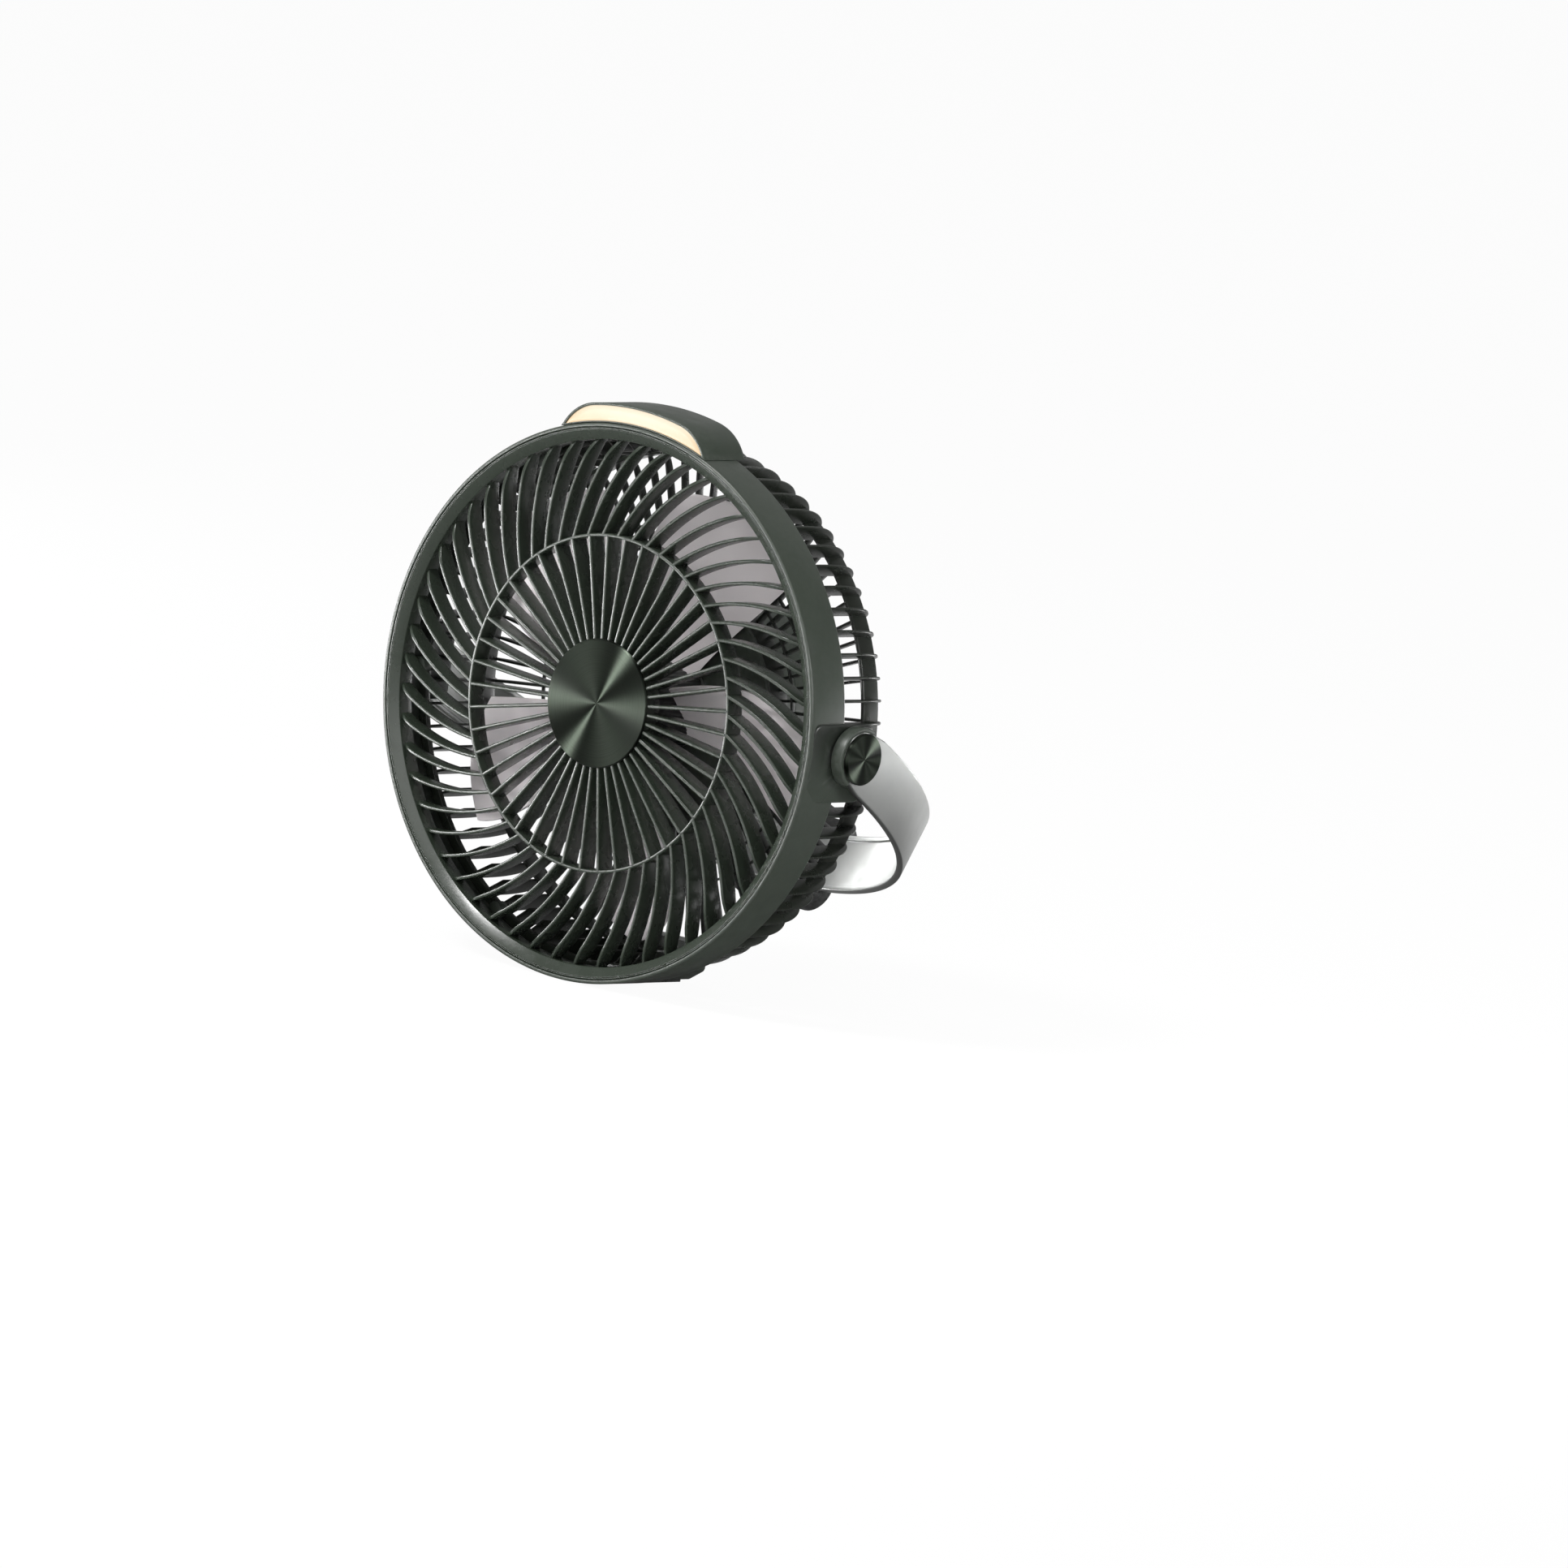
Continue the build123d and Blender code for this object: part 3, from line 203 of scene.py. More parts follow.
def rounded(corners: list[Corner], steps: int = 5) -> Array:
    """Round the corners of a closed outline by arcs that touch both sides.

    An arc starts at its radius times the tangent of half the turn before its corner and ends as far behind
    it. Each arc is a quadratic blend of those two points and the corner, pulled to the circle's middle.

    Args:
        corners: the outline's corners with their radii, 0 for a sharp one.
        steps: points of each arc.

    Returns:
        Points of the rounded outline: steps of them for a round corner, one for a sharp one.
    """
    table = np.array(corners, float)
    points, radii = table[:, :2], table[:, 2]
    before = np.roll(points, 1, 0) - points
    after = np.roll(points, -1, 0) - points
    before_length = np.linalg.norm(before, axis=1, keepdims=True)
    after_length = np.linalg.norm(after, axis=1, keepdims=True)
    before_unit = before / before_length
    after_unit = after / after_length
    cosine = np.clip((before_unit * after_unit).sum(1, keepdims=True), -0.9999, 0.9999)
    half_turn_tan = np.sqrt((1 + cosine) / (1 - cosine))
    room = 0.49 * np.minimum(before_length, after_length)
    reach = np.minimum(radii[:, None] * half_turn_tan, room)
    start = points + before_unit * reach
    end = points + after_unit * reach
    weight = np.sqrt((1 - cosine) / 2)[:, None]
    share = np.linspace(0, 1, steps)[None, :, None]
    blend_start, blend_corner, blend_end = (1 - share) ** 2, 2 * share * (1 - share) * weight, share**2
    arcs = blend_start * start[:, None] + blend_corner * points[:, None] + blend_end * end[:, None]
    kept = np.ones((len(points), steps), bool)
    kept[radii == 0, 1:] = False
    return (arcs / (blend_start + blend_corner + blend_end))[kept]


def box(left: float, low: float, right: float, high: float, radius: float) -> list[Corner]:
    """The corners of an upright rectangle, each with the same rounding."""
    return [(left, low, radius), (right, low, radius), (right, high, radius), (left, high, radius)]


def unit(vectors: Array) -> Array:
    """The vectors with a length of one, or as they are where they have none."""
    return vectors / np.maximum(np.linalg.norm(vectors, axis=-1, keepdims=True), 1e-9)


def lengths(path: Array) -> Array:
    """How far along a path each of its points lies."""
    return np.concatenate([[0.0], np.cumsum(np.linalg.norm(np.diff(path, axis=0), axis=1))])


def inset(outline: Array, amount: float) -> Array:
    """Move an outline's points inwards along the mean of their two sides' normals."""
    side = np.roll(outline, -1, 0) - outline
    area = (outline[:, 0] * np.roll(outline[:, 1], -1) - np.roll(outline[:, 0], -1) * outline[:, 1]).sum()
    normal = unit(np.stack([-side[:, 1], side[:, 0]], -1) * math.copysign(1.0, area))
    return outline + unit(normal + np.roll(normal, 1, 0)) * amount


def turned(profile: Array, segments: int = 192, start: float = 0.0, end: float = FULL_TURN) -> Shell:
    """Turn a closed profile round the fan's axis: x = r cos a, up = r sin a, with its depth kept.

    Args:
        profile: (n, 2) radius and depth.
        segments: how many steps the arc has.
        start: first angle, from the right, counter-clockwise.
        end: last angle. A full turn closes on itself.

    Returns:
        The turned shell.
    """
    full = end - start >= FULL_TURN - 1e-6
    angles = np.linspace(start, end, segments + 1)[: segments if full else None]
    radius, depth = profile[None, :, 0], profile[None, :, 1]
    cosines, sines = np.cos(angles)[:, None], np.sin(angles)[:, None]
    loops = np.stack([radius * cosines, depth + 0 * cosines, radius * sines], -1)
    return skin(loops, ring=full)


def ring_bar(inner: float, outer: float, front: float, back: float, edge: float) -> Shell:
    """A ring of rectangular section with rounded edges."""
    return turned(rounded(box(inner, front, outer, back, edge), 4))


def bar(path: Array, width: float, front: Array, back: float, edge: float) -> Shell:
    """A flat bar that stands on edge along a path across the fan.

    Its section at each point lies across the path: half the width to each side, from front to back in depth,
    with edges rounded by quarter circles of the edge's radius.

    Args:
        path: (n, 2) x and up.
        width: full width.
        front: (n,) depth of the front edge.
        back: depth of the back edge.
        edge: radius of the rounding.

    Returns:
        The closed bar.
    """
    along = unit(np.gradient(path, axis=0))
    across = np.stack([-along[:, 1], along[:, 0]], -1)
    turn = np.linspace(0, math.pi / 2, 4)
    side = np.concatenate([np.sin(turn), np.cos(turn), -np.sin(turn), -np.cos(turn)]) * edge
    sign = np.repeat([1.0, 1.0, -1.0, -1.0], 4)
    rise = np.concatenate([1 - np.cos(turn), np.sin(turn) - 1, np.cos(turn) - 1, 1 - np.sin(turn)]) * edge
    at_front = np.repeat([1.0, 0.0, 0.0, 1.0], 4)
    offset = sign * (width / 2 - edge) + side
    depth = at_front * front[:, None] + (1 - at_front) * back + rise
    place = path[:, None, :] + across[:, None, :] * offset[:, None]
    return skin(np.stack([place[..., 0], depth, place[..., 1]], -1))


def plate(outline: Array, thickness: float, edge: float) -> Array:
    """Loops of a flat plate with rounded edges, in its own plane.

    Args:
        outline: (n, 2) outline of the plate.
        thickness: from its back to its front.
        edge: radius of the rounding on both faces.

    Returns:
        (stations, n, 3) with the outline's two coordinates and the height over the plate's back.
    """
    turn = np.linspace(0, math.pi / 2, 4)
    amounts = np.concatenate([edge * (1 - np.sin(turn)), edge * (1 - np.cos(turn))])
    heights = np.concatenate([edge * (1 - np.cos(turn)), thickness - edge * (1 - np.sin(turn))])
    return np.stack([np.insert(inset(outline, a), 2, h, axis=1) for a, h in zip(amounts, heights)])


def cross_head(radius: float, height: float, slot: float) -> Shell:
    """A screw's pan head with a cross recess, its flat side at depth 0 and its top towards the rear.

    Over the head's radius the height is a flat dome. Inside the cross it sinks by a smooth step, where the
    smaller of |x| and |up| is under half the slot and the larger is inside three fifths of the radius.

    Args:
        radius: of the head.
        height: of its middle.
        slot: width of the cross's arms.

    Returns:
        The closed head.
    """
    share = np.concatenate([np.linspace(0.001, 0.94, 15), [0.98, 1.0, 1.0]])[:, None]
    angle = np.linspace(0, FULL_TURN, 48, endpoint=False)[None, :]
    x, up = radius * share * np.cos(angle), radius * share * np.sin(angle)
    shoulder = np.clip((share - 0.9) / 0.1, 0, 1)
    top = height * (1 - 0.35 * share**2) * np.sqrt(1 - 0.6 * shoulder**2)
    near = np.minimum(abs(x), abs(up)) / (slot / 2)
    far = np.maximum(abs(x), abs(up)) / (radius * 0.6)
    recess = np.clip((1.25 - near) / 0.5, 0, 1) * np.clip((1.1 - far) / 0.25, 0, 1)
    depth = top - recess * height * 0.55
    depth[-1] = 0.0
    return skin(np.stack([x, depth, up], -1)[::-1])


def small_head() -> Shell:
    """The head of the fan's small screws."""
    return cross_head(radius=2.4, height=1.6, slot=0.8)


@dataclass(frozen=True)
class ScrewCircle:
    """Places of evenly spaced screws about the fan's axis."""

    pitch: float
    count: int
    first: float

    def repeat(self, shell: Shell) -> Shell:
        """Put a copy of a shell at each place."""
        return shell.moved(x=self.pitch).around(self.count, self.first)


CAGE_SCREWS = ScrewCircle(pitch=103.6, count=6, first=math.radians(2.5))


# ---------------------------------------------------------------- shader node groups
class SocketKind(Enum):
    """Kinds of group sockets."""

    NUMBER = "NodeSocketFloat"
    VECTOR = "NodeSocketVector"


class NodeSheet:
    """Short hand for placing and joining nodes in one tree."""

    def __init__(self, tree: bpy.types.NodeTree) -> None:
        """Start on an empty tree."""
        self.tree = tree
        self.column = 0

    def node(self, kind: str, **settings: Any) -> bpy.types.Node:
        """Add a node and set its properties."""
        made = self.tree.nodes.new(kind)
        made.location = (self.column * 190.0, 0.0)
        self.column += 1
        for key, value in settings.items():
            setattr(made, key, value)
        return made

    def link(self, source: Any, target: Any) -> None:
        """Join an output to an input."""
        self.tree.links.new(source, target)

    def feed(self, target: Any, value: Any) -> None:
        """Give an input a constant, or join an output to it."""
        if isinstance(value, bpy.types.NodeSocket):
            self.link(value, target)
        else:
            target.default_value = value

    def math(self, operation: str, first: Any, second: Any = 0.0, clamp: bool = False) -> Any:
        """A Math node's output."""
        made = self.node("ShaderNodeMath", operation=operation, use_clamp=clamp)
        self.feed(made.inputs[0], first)
        self.feed(made.inputs[1], second)
        return made.outputs[0]

    def vector(self, operation: str, first: Any, second: Any = (0.0, 0.0, 0.0)) -> Any:
        """A Vector Math node's output: a number for a length or a dot product, else a vector."""
        made = self.node("ShaderNodeVectorMath", operation=operation)
        self.feed(made.inputs[0], first)
        self.feed(made.inputs[1], second)
        return made.outputs["Value" if operation in ("LENGTH", "DOT_PRODUCT") else "Vector"]

    def noise(self, place: Any, scale: Any, detail: float = 3.0, kind: str = "3D") -> Any:
        """A noise texture's value."""
        made = self.node("ShaderNodeTexNoise", noise_dimensions=kind)
        self.feed(made.inputs["W" if kind == "1D" else "Vector"], place)
        self.feed(made.inputs["Scale"], scale)
        made.inputs["Detail"].default_value = detail
        return made.outputs["Fac"]

    def remap(self, value: Any, low: float, high: float, to_low: float, to_high: float) -> Any:
        """A Map Range node's result, smooth at both ends."""
        made = self.node("ShaderNodeMapRange", interpolation_type="SMOOTHSTEP")
        self.feed(made.inputs["Value"], value)
        for key, number in zip(("From Min", "From Max", "To Min", "To Max"), (low, high, to_low, to_high)):
            made.inputs[key].default_value = number
        return made.outputs["Result"]

    def blend(self, share: Any, first: Any, second: Any) -> Any:
        """A mix of two colours, each a constant or an output, by a share."""
        mix = self.node("ShaderNodeMix", data_type="RGBA")
        self.feed(mix.inputs["Factor"], share)
        for key, value in (("A", first), ("B", second)):
            self.feed(mix.inputs[key], (*value, 1.0) if isinstance(value, tuple) else value)
        return mix.outputs["Result"]

    def mix_shaders(self, share: Any, first: Any, second: Any) -> Any:
        """A mix of two shaders by a share."""
        mix = self.node("ShaderNodeMixShader")
        for socket, value in zip(mix.inputs, (share, first, second)):
            self.link(value, socket)
        return mix.outputs[0]

    def object_place(self) -> Any:
        """The place in the object's own coordinates."""
        return self.node("ShaderNodeTexCoord").outputs["Object"]

    def object_height(self) -> Any:
        """The height in the object's own coordinates."""
        split = self.node("ShaderNodeSeparateXYZ")
        self.link(self.object_place(), split.inputs[0])
        return split.outputs["Z"]


def fresh_sheet(owner: bpy.types.Material | bpy.types.World) -> NodeSheet:
    """An empty sheet for a material's or a world's nodes."""
    owner.use_nodes = True
    owner.node_tree.nodes.clear()
    return NodeSheet(owner.node_tree)


def start_group(
    name: str, inputs: dict[str, tuple[SocketKind, Any]], outputs: list[str]
) -> tuple[NodeSheet, bpy.types.Node, bpy.types.Node]:
    """Make an empty shader group with named sockets.

    Args:
        name: the group's name.
        inputs: each input's kind and default.
        outputs: names of the number outputs.

    Returns:
        The sheet, the group's input node and its output node.
    """
    tree = bpy.data.node_groups.new(name, "ShaderNodeTree")
    for socket_name, (kind, default) in inputs.items():
        socket = tree.interface.new_socket(name=socket_name, in_out="INPUT", socket_type=kind.value)
        socket.default_value = default
    for socket_name in outputs:
        tree.interface.new_socket(name=socket_name, in_out="OUTPUT", socket_type=SocketKind.NUMBER.value)
    sheet = NodeSheet(tree)
    return sheet, sheet.node("NodeGroupInput"), sheet.node("NodeGroupOutput")


def moulded_grain_group() -> bpy.types.NodeTree:
    """Fine grain of a moulded or blasted surface.

    Height mixes two noises, the second four times finer. Tone is a wide, soft noise for uneven colour, and
    Sheen is a middle one for uneven gloss.
    """
    sheet, given, result = start_group("Moulded grain", {"Grain scale": (SocketKind.NUMBER, 2500.0)},
                                       ["Height", "Tone", "Sheen"])
    place = sheet.object_place()
    coarse = sheet.noise(place, given.outputs["Grain scale"], 2.0)
    fine = sheet.noise(place, sheet.math("MULTIPLY", given.outputs["Grain scale"], 4.0), 1.0)
    sheet.link(sheet.math("ADD", coarse, sheet.math("MULTIPLY", fine, 0.4)), result.inputs["Height"])
    sheet.link(sheet.noise(place, 28.0, 4.0), result.inputs["Tone"])
    sheet.link(sheet.noise(place, 130.0, 5.0), result.inputs["Sheen"])
    return sheet.tree


def edge_wear_group() -> bpy.types.NodeTree:
    """Mask of rubbed edges: where the surface is sharply convex, broken up by a noise."""
    sheet, given, result = start_group("Edge wear", {"Reach": (SocketKind.NUMBER, 0.03)}, ["Mask"])
    pointed = sheet.node("ShaderNodeNewGeometry").outputs["Pointiness"]
    convex = sheet.math("DIVIDE", sheet.math("SUBTRACT", pointed, 0.51), given.outputs["Reach"], clamp=True)
    place = sheet.object_place()
    broken = sheet.remap(sheet.noise(place, 420.0, 4.0), 0.38, 0.62, 0.25, 1.0)
    sheet.link(sheet.math("MULTIPLY", convex, broken), result.inputs["Mask"])
    return sheet.tree


def spun_rings_group() -> bpy.types.NodeTree:
    """Fine rings of a spun disc: noises of the distance from its axis.

    The distance is the length of the place, less the centre, with its part along the axis taken off.
    """
    sheet, given, result = start_group(
        "Spun rings",
        {"Centre": (SocketKind.VECTOR, (0.0, 0.0, 0.0)), "Across": (SocketKind.VECTOR, (1.0, 0.0, 1.0))},
        ["Height", "Tone"],
    )
    place = sheet.object_place()
    away = sheet.vector("SUBTRACT", place, given.outputs["Centre"])
    distance = sheet.vector("LENGTH", sheet.vector("MULTIPLY", away, given.outputs["Across"]))
    sheet.link(sheet.noise(distance, 9000.0, 2.0, "1D"), result.inputs["Height"])
    sheet.link(sheet.noise(distance, 2600.0, 3.0, "1D"), result.inputs["Tone"])
    return sheet.tree


@dataclass(frozen=True)
class GroupShelf:
    """The shared effects, built once."""

    grain: bpy.types.NodeTree
    wear: bpy.types.NodeTree
    rings: bpy.types.NodeTree

    @classmethod
    def build(cls) -> "GroupShelf":
        """Build every group."""
        return cls(moulded_grain_group(), edge_wear_group(), spun_rings_group())


# ---------------------------------------------------------------- finishes
@dataclass(frozen=True)
class Finish:
    """A surface finish: a Principled surface with grain, uneven tone and rubbed edges.

    tone_share and worn_share say how far the colour moves, and grain_height is the bump's distance in metres.
    A rubbed edge keeps worn_kept of the colour, made paler by worn_pale.
    """

    name: str
    colour: Colour
    roughness: float
    metallic: float = 0.0
    specular: float = 0.5
    tone_share: float = 0.1
    sheen_share: float = 0.08
    grain_scale: float = 2500.0
    grain_height: float = 0.00002
    grain_strength: float = 0.35
    worn_share: float = 0.25
    worn_reach: float = 0.04
    worn_kept: float = 0.6
    worn_pale: float = 0.12

    def shader(self, shelf: GroupShelf) -> tuple[bpy.types.Material, NodeSheet, Any]:
        """Start the material with its Principled shader.

        Args:
            shelf: the shared effects; not used.

        Returns:
            The material, its sheet and the Principled node.
        """
        material = bpy.data.materials.new(self.name)
        sheet = fresh_sheet(material)
        surface = sheet.node("ShaderNodeBsdfPrincipled")
        output = sheet.node("ShaderNodeOutputMaterial")
        sheet.link(surface.outputs["BSDF"], output.inputs["Surface"])
        surface.inputs["Metallic"].default_value = self.metallic
        surface.inputs["Specular IOR Level"].default_value = self.specular
        return material, sheet, surface

    def tint(self, sheet: NodeSheet, share: Any, low: float, high: float) -> Any:
        """The colour, scaled from low to high by a share over the surface."""
        dark = tuple(channel * low for channel in self.colour)
        pale = tuple(min(channel * high, 1.0) for channel in self.colour)
        return sheet.blend(share, dark, pale)

    def gloss(self, sheet: NodeSheet, surface: Any, unevenness: Any) -> None:
        """Let the roughness follow an uneven value."""
        half = self.sheen_share / 2
        rough = sheet.remap(unevenness, 0.3, 0.7, self.roughness - half, self.roughness + half)
        sheet.link(rough, surface.inputs["Roughness"])

    def relief(self, sheet: NodeSheet, surface: Any, height: Any) -> None:
        """Let the normal follow a height."""
        bump = sheet.node("ShaderNodeBump")
        bump.inputs["Strength"].default_value = self.grain_strength
        bump.inputs["Distance"].default_value = self.grain_height
        sheet.link(height, bump.inputs["Height"])
        sheet.link(bump.outputs["Normal"], surface.inputs["Normal"])

    def build(self, shelf: GroupShelf) -> bpy.types.Material:
        """Build the material.

        Args:
            shelf: the shared effects.

        Returns:
            The material.
        """
        material, sheet, surface = self.shader(shelf)
        grain = sheet.node("ShaderNodeGroup", node_tree=shelf.grain)
        grain.inputs["Grain scale"].default_value = self.grain_scale
        wear = sheet.node("ShaderNodeGroup", node_tree=shelf.wear)
        wear.inputs["Reach"].default_value = self.worn_reach
        toned = self.tint(sheet, grain.outputs["Tone"], 1 - self.tone_share, 1 + self.tone_share)
        rubbed = sheet.math("MULTIPLY", wear.outputs["Mask"], self.worn_share)
        worn_colour = tuple(self.worn_kept * channel + self.worn_pale for channel in self.colour)
        sheet.link(sheet.blend(rubbed, toned, worn_colour), surface.inputs["Base Color"])
        self.gloss(sheet, surface, grain.outputs["Sheen"])
        self.relief(sheet, surface, grain.outputs["Height"])
        return material


@dataclass(frozen=True)
class PaintedShadeFinish(Finish):
    """A finish with painted shade: its colour darkens from a full height up to a shaded one."""

    unshaded_z: float = 0.0
    painted_shade_z: float = 1.0
    # dark_share: how much of the colour the painted shade keeps.
    dark_share: float = 0.35

    def tint(self, sheet: NodeSheet, share: Any, low: float, high: float) -> Any:
        """The toned colour, mixed towards painted shade of its dark share with height."""
        toned = super().tint(sheet, share, low, high)
        raised = sheet.remap(sheet.object_height(), self.unshaded_z, self.painted_shade_z, 0.0, 1.0)
        return sheet.blend(raised, toned, tuple(channel * self.dark_share for channel in self.colour))


@dataclass(frozen=True)
class SpunFinish(Finish):
    """A disc turned on a lathe: fine rings, an anisotropic gloss and painted highlight lines through its
    middle.

    Its colour carries painted highlights: it is made paler along lines through the middle, whatever the
    light.
    Each painted line has a direction across the disc, from one rim through the middle to the other, in
    degrees from the horizontal, a sharpness and a share of the painted brightening. A full share adds the
    painted brightening, as a multiple of the colour. The rings' tone adds ring_share of it.
    """

    centre: tuple[float, float, float] = (0.0, 0.0, 0.0)
    axis: tuple[float, float, float] = (0.0, 1.0, 0.0)
    painted_streaks: tuple[tuple[float, float, float], ...] = ()
    painted_peak: float = 7.0
    ring_share: float = 0.05

    def painted_streak_share(self, sheet: NodeSheet, outward: Any) -> Any:
        """How far each point lies in a painted highlight line.

        It is the sum, over the streaks, of the share times |cosine to the streak| to its sharpness.

        Args:
            sheet: the material's nodes.
            outward: direction from the disc's middle.

        Returns:
            The sum's output.
        """
        total: Any = 0.0
        for angle, sharpness, share in self.painted_streaks:
            level, rise = math.cos(math.radians(angle)), math.sin(math.radians(angle))
            along = (level, 0.0, rise) if self.axis[1] else (0.0, level, rise)
            near = sheet.math("ABSOLUTE", sheet.vector("DOT_PRODUCT", outward, along))
            painted_lobe = sheet.math("MULTIPLY", sheet.math("POWER", near, sharpness), share)
            total = sheet.math("ADD", painted_lobe, total)
        return total

    def build(self, shelf: GroupShelf) -> bpy.types.Material:
        """Build the material: rings from the distance to the axis, painted highlights in the colour, and a
        tangent that runs away from it.
        """
        material, sheet, surface = self.shader(shelf)
        rings = sheet.node("ShaderNodeGroup", node_tree=shelf.rings)
        rings.inputs["Centre"].default_value = self.centre
        across = tuple(1.0 - abs(part) for part in self.axis)
        rings.inputs["Across"].default_value = across
        away = sheet.vector("SUBTRACT", sheet.object_place(), self.centre)
        outward = sheet.vector("NORMALIZE", sheet.vector("MULTIPLY", away, across))
        ringed = sheet.remap(rings.outputs["Tone"], 0.3, 0.7, 1 - self.tone_share, 1 + self.tone_share)
        share = sheet.math("MULTIPLY", self.painted_streak_share(sheet, outward), ringed)
        share = sheet.math("ADD", share, sheet.math("MULTIPLY", rings.outputs["Tone"], self.ring_share))
        # Painted highlight: the base colour is made paler where the painted lines lie.
        sheet.link(self.tint(sheet, share, 1.0, 1.0 + self.painted_peak), surface.inputs["Base Color"])
        self.gloss(sheet, surface, rings.outputs["Tone"])
        surface.inputs["Anisotropic"].default_value = 1.0
        posed = sheet.node("ShaderNodeVectorTransform", vector_type="VECTOR", convert_from="OBJECT",
                           convert_to="WORLD")
        sheet.link(outward, posed.inputs["Vector"])
        sheet.link(posed.outputs["Vector"], surface.inputs["Tangent"])
        self.relief(sheet, surface, rings.outputs["Height"])
        return material


@dataclass(frozen=True)
class GlowFinish(Finish):
    """The lamp's diffuser: a milky surface that glows, more towards its top."""

    glow: Colour = (0.86, 0.62, 0.36)
    pale_glow: Colour = (0.98, 0.87, 0.68)
    strength: float = 0.8
    low_z: float = 0.2
    high_z: float = 0.23

    def build(self, shelf: GroupShelf) -> bpy.types.Material:
        """Build the material: the glow's colour turns paler with height."""
        material, sheet, surface = self.shader(shelf)
        surface.inputs["Base Color"].default_value = (*self.colour, 1.0)
        grain = sheet.node("ShaderNodeGroup", node_tree=shelf.grain)
        self.gloss(sheet, surface, grain.outputs["Sheen"])
        raised = sheet.remap(sheet.object_height(), self.low_z, self.high_z, 0.0, 1.0)
        sheet.link(sheet.blend(raised, self.glow, self.pale_glow), surface.inputs["Emission Color"])
        surface.inputs["Emission Strength"].default_value = self.strength
        return material


class Workshop:
    """Builds finishes on demand and keeps them by name."""

    def __init__(self) -> None:
        """Build the shared effects."""
        self.shelf = GroupShelf.build()
        self.made: dict[str, bpy.types.Material] = {}

    def coat(self, finish: Finish) -> bpy.types.Material:
        """The finish's material."""
        if finish.name not in self.made:
            self.made[finish.name] = finish.build(self.shelf)
        return self.made[finish.name]


@dataclass(frozen=True)
class Bench:
    """Makes shells into pieces of the model that ride on one body."""

    space: FanSpace | StandSpace
    shop: Workshop
    body: str = "body"

    def piece(
        self, name: str, shell: Shell, node: str, slot: str, finish: Finish, crease: float = 38.0
    ) -> None:
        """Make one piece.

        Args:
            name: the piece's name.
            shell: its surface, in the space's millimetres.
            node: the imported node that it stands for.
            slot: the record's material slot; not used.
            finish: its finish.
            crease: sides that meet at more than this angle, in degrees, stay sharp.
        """
        mesh = bpy.data.meshes.new(name)
        mesh.from_pydata(self.space.row(shell.points), [], shell.quads.tolist() + shell.caps)
        work = bmesh.new()
        work.from_mesh(mesh)
        bmesh.ops.remove_doubles(work, verts=work.verts, dist=1e-7)
        bmesh.ops.recalc_face_normals(work, faces=work.faces)
        work.to_mesh(mesh)
        work.free()
        mesh.shade_smooth()
        mesh.set_sharp_from_angle(angle=math.radians(crease))
        piece = bpy.data.objects.new(name, mesh)
        bpy.context.scene.collection.objects.link(piece)
        mesh.materials.append(self.shop.coat(finish))
        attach(piece, self.body)
        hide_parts(node)
        log.info("%s: %d faces on %s", name, len(mesh.polygons), self.body)


SHELL_GREEN = Finish("shell_green", (0.03, 0.038, 0.029), 0.33, grain_scale=3000.0, worn_share=0.15)
GUARD_GREEN = Finish("guard_green", (0.022, 0.029, 0.021), 0.27, grain_scale=3000.0, worn_share=0.04,
                     worn_reach=0.1)
# The cage's finish is a darker copy of the guard's green: painted shade for the cage behind the band.
CAGE_GREEN_PAINTED_SHADE = Finish("cage_green_painted_shade", (0.013, 0.016, 0.012), 0.3, grain_scale=3000.0, worn_share=0.03,
                    worn_reach=0.1)
BLADE_GREY = Finish("blade_grey", (0.8, 0.755, 0.765), 0.4, tone_share=0.03, worn_share=0.0)
HUB_DARK = Finish("hub_dark", (0.012, 0.013, 0.012), 0.38, worn_share=0.1)
SPUN_GREEN = SpunFinish("spun_green", (0.0065, 0.0078, 0.0062), 0.42, metallic=1.0, tone_share=0.15,
                        grain_height=0.000004, grain_strength=0.25)
STAND_SATIN = Finish("stand_satin", (0.5, 0.51, 0.5), 0.4, metallic=1.0, tone_share=0.03, grain_scale=5200.0,
                     grain_height=0.00001, worn_share=0.1)
RUBBER = Finish("rubber_dark", (0.016, 0.017, 0.016), 0.72, specular=0.3, grain_scale=1500.0,
                grain_strength=0.6)
BLACK_TRAY = Finish("tray_black", (0.02, 0.021, 0.02), 0.45)
STEEL = Finish("plain_steel", (0.5, 0.5, 0.49), 0.3, metallic=1.0, tone_share=0.08, worn_share=0.0)
BUTTON_SOFT = Finish("button_soft", (0.026, 0.03, 0.026), 0.6, grain_scale=2200.0)
BOARD_GREEN = Finish("board_green", (0.01, 0.09, 0.035), 0.35, tone_share=0.2)
LED_YELLOW = Finish("led_yellow", (0.9, 0.75, 0.25), 0.3)
COPPER = Finish("copper_wire", (0.55, 0.2, 0.08), 0.32, metallic=1.0, tone_share=0.25, grain_scale=1400.0,
                grain_strength=0.9)
MAGNET = Finish("magnet_grey", (0.09, 0.09, 0.1), 0.5, metallic=0.6)
CELL_WRAP = Finish("cell_wrap", (0.02, 0.11, 0.2), 0.25, tone_share=0.05)
LIGHT_PIPE = Finish("light_pipe", (0.75, 0.8, 0.74), 0.2, tone_share=0.03, worn_share=0.0)


